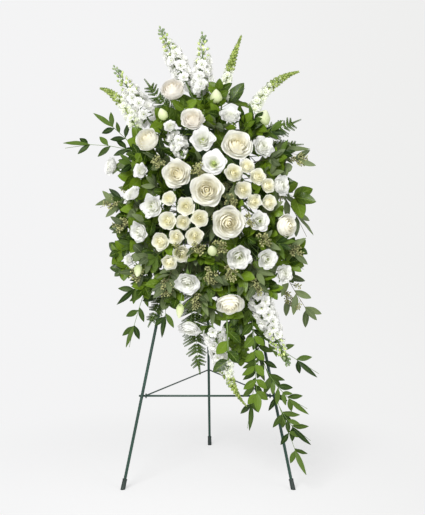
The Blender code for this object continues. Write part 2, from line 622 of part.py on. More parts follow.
def sprig(line, bare, kind, radius, rng, taken, width=None):
    """A leafy stem as one skin: a slim square stem, and leaves cut to it on both sides."""
    length, _, _, _, paired, _ = LEAF_KINDS[kind]
    vertices = [line[0], line[-1]]
    tops, unders = [], []
    edges = {-1: [], 1: []}
    ways = tangents(line)
    taken.append(BVHTree.FromPolygons(*tube(line, radius, 4)))
    last = len(line) - 2
    for k in range(last):
        at, along = line[k + 1], ways[k + 1]
        share = k / last
        face = facing_out(at, along)
        side = along.cross(face).normalized()
        thick = radius * (1 - 0.5 * share)
        tops.append(len(vertices))
        vertices.append(at + face * thick)
        unders.append(len(vertices))
        vertices.append(at - face * thick)
        for sign in (-1, 1):
            bearing = k >= bare and (paired or (k + sign) % 4 in (0, 1))
            found = None
            holds = []
            for near in (line[k], line[k + 2]):
                reach = 0.42 * (near - at).length if width else 2.2 * MM
                holds.append(at + (near - at).normalized() * reach)
            if bearing:
                level = (k - bare) / max(last - bare, 1)
                reach = length * CM
                if width:
                    reach = 0.5 * width * (0.5 + 1.5 * level - 1.8 * level * level)
                scale = 1.0 if width else 1.0 - 0.2 * level
                found = placed_leaf(at, along, sign, kind, scale, reach, thick, holds, rng, taken)
            loop = []
            points_out = [holds[0] + side * (sign * thick)]
            if found:
                lower, tip, upper = found
                points_out += lower + [tip] + upper[::-1]
            points_out.append(holds[1] + side * (sign * thick))
            for point in points_out:
                loop.append(len(vertices))
                vertices.append(point)
            edges[sign].append(loop)
    at = line[-2]
    reach = (line[-1] - at).length * 1.25 + 0.01
    end = placed_leaf(at, (line[-1] - at).normalized(), 0, kind, 0.8, reach, 0.5 * radius, [at, at], rng, taken)
    ends = {-1: [], 1: []}
    if end and not width:
        vertices[1] = end[1]
        for sign, rim in ((-1, end[0]), (1, end[2])):
            for point in rim:
                ends[sign].append(len(vertices))
                vertices.append(point)
    faces = []
    for sign in (-1, 1):
        for ribs, flip in ((tops, sign), (unders, -sign)):
            corners = [(0, edges[sign][0][0], ribs[0])]
            for k, loop in enumerate(edges[sign]):
                for a, b in zip(loop, loop[1:]):
                    corners.append((ribs[k], a, b))
                if k + 1 < len(ribs):
                    corners.append((ribs[k], loop[-1], edges[sign][k + 1][0]))
                    corners.append((ribs[k], edges[sign][k + 1][0], ribs[k + 1]))
            close = [edges[sign][-1][-1]] + ends[sign] + [1]
            for a, b in zip(close, close[1:]):
                corners.append((ribs[-1], a, b))
            faces += corners if flip == 1 else [tuple(reversed(c)) for c in corners]
    return vertices, faces


def turned_out(solid):
    """The solid with its faces pointing out."""
    vertices, faces = solid
    volume = 0.0
    for face in faces:
        for k in range(1, len(face) - 1):
            volume += vertices[face[0]].dot(vertices[face[k]].cross(vertices[face[k + 1]]))
    if volume < 0:
        return vertices, [tuple(reversed(face)) for face in faces]
    return vertices, faces


def corners_of(points):
    low = Vector([min(p[k] for p in points) for k in range(3)])
    high = Vector([max(p[k] for p in points) for k in range(3)])
    return low, high


def is_clear(solid, margin=0.4 * MM):
    """True if a solid meets nothing that is built so far, and no corner of it is inside anything."""
    vertices, faces = solid
    low, high = corners_of(vertices)
    tree = None
    for name, other, other_low, other_high in obstacles:
        if name == growing[0]:
            continue
        if any(low[k] - margin > other_high[k] or other_low[k] > high[k] + margin for k in range(3)):
            continue
        tree = tree or BVHTree.FromPolygons(vertices, faces)
        if tree.overlap(other):
            return False
        for point in vertices:
            found, normal, _, distance = other.find_nearest(point, 0.03)
            if found is not None and (distance < margin or (point - found).dot(normal) < 0):
                return False
    return True


def remember(name, vertices, faces):
    obstacles.append((name, BVHTree.FromPolygons(vertices, faces), *corners_of(vertices)))


def mesh_object(name, solid):
    vertices, faces = turned_out(solid)
    mesh = bpy.data.meshes.new(name)
    mesh.from_pydata(vertices, [], faces)
    mesh.validate()
    thing = bpy.data.objects.new(name, mesh)
    bpy.context.scene.collection.objects.link(thing)
    return thing


def add_boolean(thing, operation, solids):
    """Joins solids to an object, or cuts them from it, and applies that."""
    helpers = bpy.data.collections.new("helpers")
    bpy.context.scene.collection.children.link(helpers)
    for solid in solids:
        helper = mesh_object("helper", solid)
        bpy.context.scene.collection.objects.unlink(helper)
        helpers.objects.link(helper)
    modifier = thing.modifiers.new("fuse", "BOOLEAN")
    modifier.operation = operation
    modifier.operand_type = "COLLECTION"
    modifier.collection = helpers
    modifier.solver = "MANIFOLD"
    bpy.context.view_layer.update()
    graph = bpy.context.evaluated_depsgraph_get()
    fused = bpy.data.meshes.new_from_object(thing.evaluated_get(graph))
    thing.modifiers.clear()
    thing.data = fused
    for helper in list(helpers.objects):
        bpy.data.objects.remove(helper)
    bpy.data.collections.remove(helpers)


def fill_pockets(thing):
    """Drops the small closed skins inside an object, which are pockets between joined pieces."""
    mesh = bmesh.new()
    mesh.from_mesh(thing.data)
    shells = []
    left = set(mesh.verts)
    while left:
        shell = {left.pop()}
        edge = list(shell)
        while edge:
            for link in edge.pop().link_edges:
                for vertex in link.verts:
                    if vertex in left:
                        left.remove(vertex)
                        shell.add(vertex)
                        edge.append(vertex)
        shells.append(shell)
    shells.sort(key=len)
    for shell in shells[:-1]:
        bmesh.ops.delete(mesh, geom=list(shell), context="VERTS")
    mesh.to_mesh(thing.data)
    mesh.free()


def material(name):
    found = bpy.data.materials.get(name)
    if found:
        return found
    colour, roughness, metallic = MATERIALS[name]
    made = bpy.data.materials.new(name)
    made.use_nodes = True
    shader = made.node_tree.nodes["Principled BSDF"]
    shader.inputs["Base Color"].default_value = (*colour, 1)
    shader.inputs["Roughness"].default_value = roughness
    shader.inputs["Metallic"].default_value = metallic
    return made


def make_node(name, solids, finish, cuts=()):
    """One named object: the first solid with the others joined to it and the cuts taken out."""
    thing = mesh_object(name, solids[0])
    if len(solids) > 1:
        add_boolean(thing, "UNION", solids[1:])
        fill_pockets(thing)
    if cuts:
        add_boolean(thing, "DIFFERENCE", cuts)
    thing.data.name = name
    thing.data.materials.clear()
    thing.data.materials.append(material(finish))
    thing.data.shade_smooth()
    thing.data.set_sharp_from_angle(angle=math.radians(34))
    corners = [vertex.co.copy() for vertex in thing.data.vertices]
    remember(name, corners, [tuple(face.vertices) for face in thing.data.polygons])
    return thing


def front_leg_point(side, height):
    spread = FRONT_SPREAD + (APEX_SPREAD - FRONT_SPREAD) * height / APEX_HEIGHT
    return Vector((side * spread, leg_plane_y(height), height))


def rear_leg_point(height):
    foot = Vector((REAR_FOOT_X, REAR_FOOT_Y, 0))
    pivot = Vector((PIVOT_X, PIVOT_Y, PIVOT_HEIGHT))
    return foot.lerp(pivot, height / PIVOT_HEIGHT)


def crossbar_y():
    """Y of the crossbar, which lies behind the front legs."""
    return leg_plane_y(CROSSBAR_HEIGHT) + FRONT_LEG_RADIUS + BAR_RADIUS + GAP


def eye(centre, hole_radius, wire, sides=6):
    """A ring of wire round a rod that runs along X."""
    middle_radius = hole_radius + wire * math.cos(math.pi / 4)
    rings = []
    for k in range(sides):
        turn = 2 * math.pi * k / sides
        outward = Vector((0, math.cos(turn), math.sin(turn)))
        ring = []
        for j in range(4):
            angle = 2 * math.pi * (j + 0.5) / 4
            offset = outward * math.cos(angle) + Vector((1, 0, 0)) * math.sin(angle)
            ring.append(centre + outward * (middle_radius / math.cos(math.pi / sides)) + offset * wire)
        rings.append(ring)
    vertices = [point for ring in rings for point in ring]
    faces = ring_faces(sides, 4)
    last = (sides - 1) * 4
    for j in range(4):
        after = (j + 1) % 4
        faces.append((last + j, last + after, after, j))
    return vertices, faces


def build_tips():
    """Plastic tips on the legs, with their feet cut level on the floor. Each has a socket for its
    leg, which stops short of the floor."""
    places = {
        "tip_left": (front_leg_point(-1, 0), front_leg_point(-1, 0.2), FRONT_LEG_RADIUS),
        "tip_right": (front_leg_point(1, 0), front_leg_point(1, 0.2), FRONT_LEG_RADIUS),
        "tip_rear": (rear_leg_point(0), rear_leg_point(0.2), REAR_LEG_RADIUS),
    }
    for name, (foot, above, leg_radius) in places.items():
        way = (above - foot).normalized()
        outer = leg_radius + TIP_RADIUS - FRONT_LEG_RADIUS
        body = tube([foot - way * 0.01, foot + way * TIP_LENGTH], outer, LEG_SIDES)
        socket_start = foot + way * (8 * MM)
        socket = tube([socket_start, foot + way * (TIP_LENGTH + 0.01)], leg_radius + GAP, LEG_SIDES)
        floor = box(Vector((foot.x, foot.y, -0.05)), *Matrix.Identity(3), (0.05, 0.05, 0.05))
        make_node(name, [body], "tip_plastic", [socket, floor])


def build_easel():
    """Two front legs, a crossbar, two bars for the cage, the head, the rear leg and its brace."""
    build_tips()
    for name, side in (("leg_front_left", -1), ("leg_front_right", 1)):
        foot = front_leg_point(side, 0)
        way = (front_leg_point(side, 1.0) - foot).normalized()
        ends = [foot + way * (9 * MM), front_leg_point(side, APEX_HEIGHT)]
        make_node(name, [tube(ends, FRONT_LEG_RADIUS, LEG_SIDES)], "painted_steel")

    reach = front_leg_point(1, CROSSBAR_HEIGHT).x + CROSSBAR_OVERHANG
    ends = [Vector((side * reach, crossbar_y(), CROSSBAR_HEIGHT)) for side in (-1, 1)]
    make_node("crossbar", [tube(ends, BAR_RADIUS, 8)], "painted_steel")

    for name, height in (("hanger_bar_lower", HANGER_HEIGHTS[0]), ("hanger_bar_upper", HANGER_HEIGHTS[1])):
        offset = plane_out() * (FRONT_LEG_RADIUS + BAR_RADIUS + GAP)
        reach = front_leg_point(1, height).x + CROSSBAR_OVERHANG
        ends = [Vector((side * reach, leg_plane_y(height), height)) + offset for side in (-1, 1)]
        make_node(name, [tube(ends, BAR_RADIUS, 8)], "painted_steel")

    build_head()
    build_rear_leg()
    build_brace()


def build_head():
    """The block that the front legs end in, with two ears behind it that carry the pivot pin."""
    width, depth, height = 0.026, 0.009, 0.024
    middle = Vector((0, leg_plane_y(APEX_HEIGHT), APEX_HEIGHT - 0.002))
    axes = [Vector((1, 0, 0)), Vector((0, 1, 0)), Vector((0, 0, 1))]
    body = box(middle, *axes, (width, depth, height))
    ears = []
    for side in (-1, 1):
        ear = Vector((PIVOT_X + side * 0.0095, (middle.y + PIVOT_Y + 0.006) / 2 + 0.002, PIVOT_HEIGHT))
        ears.append(box(ear, *axes, (0.0020, (PIVOT_Y + 0.006 - middle.y) / 2, 0.008)))
    pin_ends = [Vector((PIVOT_X + side * 0.013, PIVOT_Y, PIVOT_HEIGHT)) for side in (-1, 1)]
    pin = tube(pin_ends, PIN_RADIUS, 8)
    sockets = []
    for side in (-1, 1):
        top = front_leg_point(side, APEX_HEIGHT)
        way = (top - front_leg_point(side, 1.0)).normalized()
        sockets.append(tube([top - way * 0.06, top + way * GAP], FRONT_LEG_RADIUS + GAP, LEG_SIDES))
    make_node("head", [body] + ears + [pin], "painted_steel", sockets)


def build_rear_leg():
    """The rear leg, with an eye round the pivot pin."""
    pivot = Vector((PIVOT_X, PIVOT_Y, PIVOT_HEIGHT))
    foot = rear_leg_point(0)
    way = (pivot - foot).normalized()
    ring_wire = 2.2 * MM
    ring = eye(pivot, PIN_RADIUS + EYE_CLEARANCE, ring_wire)
    rod_top = pivot - way * (PIN_RADIUS + EYE_CLEARANCE + 1.9 * ring_wire)
    thin = [REAR_LEG_RADIUS, REAR_LEG_RADIUS, 2.4 * MM]
    rod = tube([foot + way * (9 * MM), rod_top - way * 0.02, rod_top + way * (1.6 * MM)], thin, LEG_SIDES)
    make_node("leg_rear", [rod, ring], "painted_steel")


def build_brace():
    """One bent wire: an eye round each end of the crossbar, arms that meet behind the rear leg."""
    clear = REAR_LEG_RADIUS + WIRE_RADIUS + 1.2 * MM
    middle = rear_leg_point(BRACE_REAR_HEIGHT)
    bend = []
    for k in range(5):
        turn = math.pi * k / 4
        bend.append(middle + Vector((-math.cos(turn) * clear, math.sin(turn) * clear, 0)))
    eye_x = front_leg_point(1, CROSSBAR_HEIGHT).x - 0.013
    eyes = []
    starts = []
    for side in (-1, 1):
        centre = Vector((side * eye_x, crossbar_y(), CROSSBAR_HEIGHT))
        eyes.append(eye(centre, BAR_RADIUS + EYE_CLEARANCE, WIRE_RADIUS))
        starts.append(centre + Vector((0, BAR_RADIUS + EYE_CLEARANCE + WIRE_RADIUS, 0)))
    wire = tube([starts[0]] + bend + [starts[1]], WIRE_RADIUS, 5)
    make_node("brace_wire", [wire] + eyes, "painted_steel")


def build_cage():
    """A plastic tray behind the foam, with hooks over the hanger bars and bands round the front."""
    w, l = FOAM_HALF_WIDTH + GAP, FOAM_HALF_LENGTH + GAP
    back = FOAM_BACK - GAP - 2.6 * MM
    top = CAGE_WALL_TOP
    outer_w, outer_l = w + CAGE_WALL, l + CAGE_WALL
    solids = [holder_box((-outer_w, -outer_l, back), (outer_w, outer_l, FOAM_BACK - GAP))]
    for side in (-1, 1):
        wall = sorted((side * w, side * (w + CAGE_WALL)))
        solids.append(holder_box((wall[0], -l - CAGE_WALL, back + MM), (wall[1], l + CAGE_WALL, top)))
        wall = sorted((side * l, side * (l + CAGE_WALL)))
        solids.append(holder_box((-w - 2 * MM, wall[0], back + MM), (w + 2 * MM, wall[1], top)))
    front = FOAM_FRONT + GAP
    for place in BAND_PLACES:
        low, high = place - BAND_WIDTH / 2, place + BAND_WIDTH / 2
        solids.append(holder_box((-w - CAGE_WALL, low, front), (w + CAGE_WALL, high, front + 2 * MM)))
        for side in (-1, 1):
            wall = sorted((side * w, side * (w + CAGE_WALL)))
            solids.append(holder_box((wall[0], low, top - MM), (wall[1], high, front + MM)))
    solids += cage_hooks(back)
    make_node("foam_cage", solids, "cage_plastic")


def cage_hooks(back):
    """Hooks on the tray's back that lie over the upper hanger bar. The tray leans on the lower."""
    hooks = []
    bar_out = FRONT_LEG_RADIUS + BAR_RADIUS + GAP
    for height in HANGER_HEIGHTS[1:]:
        bar_up = (height - FOAM_HEIGHT_ABOVE_FLOOR) / plane_up().z
        bar_up += bar_out * plane_up().y / plane_up().z
        for x in (-0.034, 0.034):
            over = bar_up + BAR_RADIUS + GAP
            behind = bar_out - BAR_RADIUS - GAP
            left, right, tip = x - 0.004, x + 0.004, behind - 2 * MM
            hooks.append(holder_box((left, over, tip), (right, over + 2.4 * MM, back + MM)))
            hooks.append(holder_box((left, over - 9 * MM, tip), (right, over + MM, behind)))
    return hooks


def build_foam():
    """The wet foam, with a plain hole for each stem. It comes last, when all roots are known."""
    low = (-FOAM_HALF_WIDTH, -FOAM_HALF_LENGTH, FOAM_BACK)
    high = (FOAM_HALF_WIDTH, FOAM_HALF_LENGTH, FOAM_FRONT)
    holes = []
    for point, way, radius in roots:
        ends = [point - way * HOLE_DEPTH, point + way * 0.01]
        holes.append(tube(ends, radius + HOLE_CLEARANCE, STALK_SIDES))
    make_node("foam_block", [holder_box(low, high)], "foam", holes)


def keep_foam_clear():
    """Until it is built, the foam stands in the way as a plain block."""
    low = (-FOAM_HALF_WIDTH, -FOAM_HALF_LENGTH, FOAM_BACK)
    high = (FOAM_HALF_WIDTH, FOAM_HALF_LENGTH, FOAM_FRONT)
    remember("foam_block", *turned_out(holder_box(low, high)))


def keep_stalks_clear():
    """Every stem's foot stands in the others' way from the start, and a little round it."""
    plans = dict(BUNDLE_ROOTS)
    for table in (STOCK, SNAPDRAGONS, GREENS, FERNS):
        plans.update((name, row[0]) for name, row in table.items())
    for name, root in plans.items():
        point, way = foam_root(*root)
        thick = 5 * MM if name.startswith("rose_stems") else 3.4 * MM
        remember(name, *turned_out(tube([point + way * (0.5 * MM), point + way * (9 * MM)], thick + MM, 6)))


def keep_fold_clear():
    """The space behind the front legs that the rear leg and the brace sweep when they fold."""
    sweep = box(Vector((PIVOT_X / 2, 0.16, 0.62)), *Matrix.Identity(3), (0.02, 0.145, 0.62))
    remember("fold", *turned_out(sweep))
    rise = box(Vector((0, 0.02, 0.48)), *Matrix.Identity(3), (0.20, 0.17, 0.22))
    remember("fold", *turned_out(rise))


def stalk(name, root, radius):
    """The straight foot of a stem in the foam: its two ends and the way out. Its hole is noted."""
    growing[0] = name
    point, way = foam_root(*root)
    roots.append((point, way, radius))
    return [point - way * (HOLE_DEPTH - MM), point + way * (7 * MM)], way


def fanned_start(foot, leave, end, offset):
    """Where a stem of a bundle starts: inside the foot, on the side that its flower is on."""
    outward = end - foot[1]
    outward = (outward - leave * outward.dot(leave)).normalized()
    return foot[1] - leave * (3 * MM) + outward * offset


def clear_route(start, leave, end, arrive, radius, sides=4, hip=None, neck=10 * MM):
    """Points and radii of a stem from start to end that meets nothing: the plain curve, or else one
    that is bowed to a side. Its last part is straight, under the flower."""
    throat = end - arrive * neck
    distance = (throat - start).length
    side, up = across((throat - start).normalized())
    radii = [radius] * (ROUTE_STEPS + 1) + [hip or radius]
    first = None
    for bow in (0, 10, 20, 32, 46, 60, 80):
        for k in range(8 if bow else 1):
            turn = 2 * math.pi * k / 8
            offset = (side * math.cos(turn) + up * math.sin(turn)) * (bow * MM)
            for pull in (0.3, 0.15, 0.5):
                controls = [start, start + leave * (pull * distance) + offset]
                controls += [throat - arrive * (0.3 * distance) + offset, throat]
                points = bezier(controls, ROUTE_STEPS) + [end]
                first = first or points
                if is_clear(tube(points, radii, sides), 0.2 * MM):
                    return points, radii
    print("no clear way for a stem to", [round(x * 100, 1) for x in end])
    return first, radii


def head_place(head, share):
    """Base point, facing and radius of a flower whose middle lies at share of its height there."""
    x, z, diameter, behind, facing = head[:5]
    facing = Vector(facing).normalized()
    radius = diameter * CM / 2
    return on_dome(x, z, behind) - facing * (share * radius), facing, radius


def build_rose_heads():
    for index, (name, head) in enumerate(ROSES.items()):
        base, facing, radius = head_place(head, 0.62)
        bloom = pleated_bloom(base, facing, radius, ROSE_PROFILE, ROSE_CENTRE, 15, 0.37 * index)
        make_node(name, [bloom], "rose_petal")


def build_spray_roses():
    """Clusters of small roses on thin stems that leave the foam together."""
    for name, heads in SPRAY_ROSES.items():
        foot, leave = stalk(name, BUNDLE_ROOTS[name], 4 * MM)
        solids = [tube(foot, 4 * MM, STALK_SIDES)]
        blooms = []
        for index, head in enumerate(heads):
            base, facing, radius = head_place(head, 0.62)
            shape = (SPRAY_ROSE_PROFILE, SPRAY_ROSE_CENTRE, 10, 0.31 * index)
            solids.append(pleated_bloom(base, facing, radius, *shape))
            blooms.append((base + facing * (0.1 * radius), facing))
        for end, facing in blooms:
            start = fanned_start(foot, leave, end, 2.6 * MM)
            solids.append(tube(*clear_route(start, leave, end, facing, 1.7 * MM, 3), 3))
        make_node(name, solids, "spray_rose_petal")


def lisianthus_heads(name):
    """The open flowers and buds of one spray, each with the point that its stem ends in."""
    solids, seats = [], []
    for index, head in enumerate(LISIANTHUS[name]):
        base, facing, radius = head_place(head, 0.66)
        bloom = pleated_bloom(base, facing, radius, LISIANTHUS_PROFILE, LISIANTHUS_CENTRE, 10, 0.43 * index)
        solids.append(bloom)
        seats.append((base + facing * (0.12 * radius), facing))
    for x, z, diameter, length, behind, way in LISIANTHUS_BUDS.get(name, ()):
        way = Vector(way).normalized()
        base = on_dome(x, z, behind) - way * (length * CM / 2)
        solids.append(bud(base, way, length * CM, diameter * CM / 2))
        seats.append((base + way * (3 * MM), way))
    return solids, seats


def build_stem_bundles():
    """Green stems of the roses. They leave the foam together, and each ends in a hip under its
    flower."""
    for name in ("rose_stems_upper", "rose_stems_lower"):
        foot, leave = stalk(name, BUNDLE_ROOTS[name], 5 * MM)
        solids = [tube(foot, 5 * MM, STALK_SIDES)]
        for head in ROSES.values():
            if not name.endswith(head[5]):
                continue
            base, facing, radius = head_place(head, 0.62)
            end = base - facing * (0.02 * radius + GAP)
            start = fanned_start(foot, leave, end, 3 * MM)
            solids.append(tube(*clear_route(start, leave, end, facing, 3.2 * MM, 4, 0.2 * radius), 4))
        make_node(name, solids, "flower_stem")


def build_lisianthus():
    for name in LISIANTHUS:
        heads, seats = lisianthus_heads(name)
        foot, leave = stalk(name, BUNDLE_ROOTS[name], 4 * MM)
        solids = [tube(foot, 4 * MM, STALK_SIDES)] + heads
        for end, facing in seats:
            start = fanned_start(foot, leave, end, 2.6 * MM)
            solids.append(tube(*clear_route(start, leave, end, facing, 1.6 * MM, 3, neck=12 * MM), 3))
        make_node(name, solids, "lisianthus_petal")


def rooted_stem(name, root, end, arrive, radius):
    """One stem from its hole in the foam to a flower spike."""
    foot, leave = stalk(name, root, radius)
    points, _ = clear_route(foot[1], leave, end, arrive, radius, STALK_SIDES)
    return tube([foot[0]] + points, radius, STALK_SIDES)


def build_stock():
    """Spikes with whorls of open florets, and small buds at the tip."""
    for name, (root, start, end, width, count) in STOCK.items():
        start, end = on_front(*start), on_front(*end)
        way = (end - start).normalized()
        radii = []
        for k in range(count):
            share = k / (count - 1)
            radii.append(0.5 * width * CM * (0.86 + 0.3 * share - 0.86 * share * share))
        points = [start.lerp(end, k / 4) for k in range(5)]
        stem = rooted_stem(name, root, start + way * (8 * MM), way, 2.8 * MM)
        make_node(name, [spike(points, radii, 4, 7 * MM, 0.75), stem], "stock_petal")


def build_snapdragons():
    """Curved spikes with whorls of pouched florets below and ever smaller buds to the tip."""
    for name, (root, start, bend, end, width) in SNAPDRAGONS.items():
        points = bezier([on_front(*start), on_front(*bend), on_front(*end)], SPIKE_STEPS)
        way = tangents(points)[0]
        stem = rooted_stem(name, root, points[0] + way * (8 * MM), way, 2.6 * MM)
        radii = [0.5 * width * CM * (1.0 - 0.8 * k / SPIKE_WHORLS) for k in range(SPIKE_WHORLS)]
        make_node(name, [spike(points, radii, 3, 3.4 * MM, 0.8), stem], "snapdragon_petal")


def facing_out(point, way):
    """The way a leaf's upper face looks: outward from the heart of the spray, square to the leaf."""
    heart = on_holder(0, 0, 0)
    outward = (point - heart).normalized() + Vector((0, -0.9, 0.25))
    return (outward - way * outward.dot(way)).normalized()


def seed_twig(base, way, reach, turn):
    """A short twig that swells into pointed seeds, each set to a side of it."""
    side, up = across(way)
    rings = []
    for k in range(2 * SEEDS_ON_TWIG):
        seed = k % 2
        swing = turn + 2.4 * k
        offset = (side * math.cos(swing) + up * math.sin(swing)) * (2.4 * MM * seed)
        at = base + way * (reach * (k + 0.5) / (2 * SEEDS_ON_TWIG)) + offset
        size = (3.4 if seed else 1.0) * MM
        ring = []
        for j in range(3):
            angle = 2 * math.pi * j / 3 + turn
            ring.append(at + (side * math.cos(angle) + up * math.sin(angle)) * size)
        rings.append(ring)
    return capped_rings(rings, base, base + way * reach)


def seeds_on(line, bare, count, rng):
    """Twigs with seeds all round a stem, each between two of its leaf pairs."""
    solids = []
    for k in range(count):
        place = bare + 1 + (len(line) - 3 - bare) * k / max(count, 1)
        at = line[int(place)].lerp(line[int(place) + 1], 0.5)
        along = (line[int(place) + 1] - line[int(place)]).normalized()
        side, up = across(along)
        turn = 2.4 * k + rng.uniform(-0.4, 0.4)
        way = (side * math.cos(turn) + up * math.sin(turn) + along * 0.9).normalized()
        twig = seed_twig(at, way, rng.uniform(2.6, 3.8) * CM, turn)
        if is_clear(twig):
            solids.append(twig)
    return solids


def branch_route(start, leave, controls):
    """Points from a start along its first way, and on by way of the table's points."""
    through = [start, start + leave * (3 * CM)] + [on_front(*c) for c in controls]
    return bezier(through, BRANCH_STEPS)


def forked(point, way, controls, index):
    """Where a branch starts in its stem and the way it leaves: turned from the stem towards its
    first bend, and a little off the stem's axis, so that their faces don't coincide."""
    side, up = across(way)
    turn = 0.5 + 2.4 * index
    begin = point + (side * math.cos(turn) + up * math.sin(turn)) * (0.4 * MM)
    if index:
        way = (way * 0.7 + (on_front(*controls[0]) - begin).normalized()).normalized()
    return begin, way


def bowed_branch(start, leave, controls, kind, leaf_start):
    """The line of a branch that meets nothing: the plain one, a bowed one or a shorter one."""
    for short in (1.0, 0.85, 0.7, 0.55):
        for bow in (0, 1.5, 3.0, 4.5, 6.0):
            for k in range(6 if bow else 1):
                turn = 2 * math.pi * k / 6
                aside, aloft = bow * math.cos(turn), bow * math.sin(turn)
                moved = [(x + aside, z + 0.6 * aloft, rise + 0.8 * aloft) for x, z, rise in controls]
                moved[-1] = controls[-1]
                points = branch_route(start, leave, moved)
                points = [along_path(points, short * i / BRANCH_STEPS)[0] for i in range(BRANCH_STEPS + 1)]
                line, bare = stem_line(points, kind, leaf_start)
                if is_clear(tube(line, 2.4 * MM, 4), 0.7 * MM):
                    return line, bare
    print("no clear way for a branch to", controls[-1])
    return None, 0


def build_greens():
    finishes = {
        "ruscus": "ruscus_leaf",
        "broad_ruscus": "broad_leaf",
        "salal": "broad_leaf",
        "small_salal": "broad_leaf",
        "silver_dollar": "eucalyptus_leaf",
        "long_eucalyptus": "eucalyptus_leaf",
    }
    for name, (root, branches) in GREENS.items():
        rng = random.Random(name)
        foot, leave = stalk(name, root, 2.6 * MM)
        solids = [tube(foot, 2.6 * MM, STALK_SIDES)]
        taken = []
        main = None
        for index, (share, controls, kind, leaf_start, seeds) in enumerate(branches):
            begin, away = foot[1] - leave * MM, leave
            if share and main:
                begin, away = along_path(main, share)
            begin, away = forked(begin, away, controls, index)
            line, bare = bowed_branch(begin, away, controls, kind, leaf_start)
            if not line:
                continue
            main = main or line
            solids.append(sprig(line, bare, kind, (1.6 - 0.07 * index) * MM, rng, taken))
            solids += seeds_on(line, bare, seeds, rng)
        make_node(name, solids, finishes[branches[0][2]])


def build_ferns():
    for name, (root, fronds) in FERNS.items():
        rng = random.Random(name)
        foot, leave = stalk(name, root, 2.4 * MM)
        solids = [tube(foot, 2.4 * MM, STALK_SIDES)]
        taken = []
        for index, (controls, width) in enumerate(fronds):
            begin, away = forked(foot[1] - leave * MM, leave, controls, index)
            line, bare = bowed_branch(begin, away, controls, "fern", 0.3)
            if line:
                solids.append(sprig(line, bare, "fern", (1.4 - 0.07 * index) * MM, rng, taken, width * CM))
        make_node(name, solids, "fern_leaf")


def centre_on_floor():
    """Moves everything so that the middle of the whole stands over the world's origin. The pieces
    that fold have their own origins on the axes they turn about."""
    low = Vector((1e9, 1e9, 1e9))
    high = -low
    for thing in bpy.data.objects:
        for vertex in thing.data.vertices:
            low = Vector(map(min, low, vertex.co))
            high = Vector(map(max, high, vertex.co))
    shift = Vector((-(low.x + high.x) / 2, -(low.y + high.y) / 2, 0))
    pivot = Vector((PIVOT_X, PIVOT_Y, PIVOT_HEIGHT))
    hinge = Vector((0, crossbar_y(), CROSSBAR_HEIGHT))
    axes = {"leg_rear": pivot, "tip_rear": pivot, "brace_wire": hinge}
    for thing in bpy.data.objects:
        origin = axes.get(thing.name, Vector())
        thing.data.transform(Matrix.Translation(-origin))
        thing.location = origin + shift


def build():
    clear_scene()
    build_easel()
    build_cage()
    keep_foam_clear()
    keep_fold_clear()
    keep_stalks_clear()
    build_rose_heads()
    build_stock()
    build_spray_roses()
    build_stem_bundles()
    build_lisianthus()
    build_snapdragons()
    build_ferns()
    build_greens()
    build_foam()
    centre_on_floor()


build()
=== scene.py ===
"""Looks of the standing funeral spray: petals, leaves, seeds, stems and the painted wire easel.

Everything is placed as in the frame's own source: the same tables, roots and seeded draws, worked
out in metres round the easel's middle, and then moved by SHIFT to where the frame stands. Each
fine piece replaces the plain solid of the same flower, branch or bar.
"""

import math
import random

import bmesh
import bpy
import numpy as np
from mathutils import Matrix, Vector
from mathutils.bvhtree import BVHTree


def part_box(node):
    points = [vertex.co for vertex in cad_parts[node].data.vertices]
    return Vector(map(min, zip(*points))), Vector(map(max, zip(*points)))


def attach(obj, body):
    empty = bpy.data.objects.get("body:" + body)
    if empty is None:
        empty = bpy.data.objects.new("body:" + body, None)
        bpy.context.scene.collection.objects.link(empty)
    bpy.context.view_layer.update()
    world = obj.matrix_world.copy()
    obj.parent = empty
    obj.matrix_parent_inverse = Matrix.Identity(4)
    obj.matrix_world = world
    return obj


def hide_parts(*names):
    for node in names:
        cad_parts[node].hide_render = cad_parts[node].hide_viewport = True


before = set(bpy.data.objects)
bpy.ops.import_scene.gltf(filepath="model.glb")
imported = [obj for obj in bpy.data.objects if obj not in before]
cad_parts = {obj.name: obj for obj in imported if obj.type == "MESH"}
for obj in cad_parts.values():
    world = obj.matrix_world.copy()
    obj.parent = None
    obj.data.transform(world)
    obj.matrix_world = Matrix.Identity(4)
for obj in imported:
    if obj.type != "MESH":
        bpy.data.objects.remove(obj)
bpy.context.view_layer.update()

CM = 0.01
MM = 0.001
GAP = 0.3 * MM  # between pieces that touch on the real thing

# Easel
APEX_HEIGHT = 1.28  # where the front legs meet the head
FRONT_SPREAD = 0.272  # half the distance between the front feet
APEX_SPREAD = 0.012  # half the distance between the front legs at the head
FRONT_FOOT_Y = -0.25
REAR_FOOT_Y = 0.28
REAR_FOOT_X = 0.004
FRONT_LEG_RADIUS = 5 * MM
REAR_LEG_RADIUS = 4.5 * MM
BAR_RADIUS = 3.2 * MM
WIRE_RADIUS = 2.4 * MM
CROSSBAR_HEIGHT = 0.289
CROSSBAR_OVERHANG = 0.010  # how far the crossbar runs past each front leg
BRACE_REAR_HEIGHT = 0.290  # where the brace wire hooks round the rear leg
HANGER_HEIGHTS = (0.80, 1.11)  # the two bars that carry the foam cage
TIP_RADIUS = 7.5 * MM
PIVOT_X = -0.010
PIVOT_Y = 0.018
PIVOT_HEIGHT = 1.268
PIN_RADIUS = 2.5 * MM
EYE_CLEARANCE = 0.3 * MM

# Foam and cage, measured from the plane of the front legs
FOAM_HEIGHT_ABOVE_FLOOR = 0.95
FOAM_HALF_WIDTH = 0.100
FOAM_HALF_LENGTH = 0.180
FOAM_BACK = 15.5 * MM
FOAM_FRONT = 100.5 * MM
HOLE_DEPTH = 30 * MM  # of the hole in the foam that a foot stands in

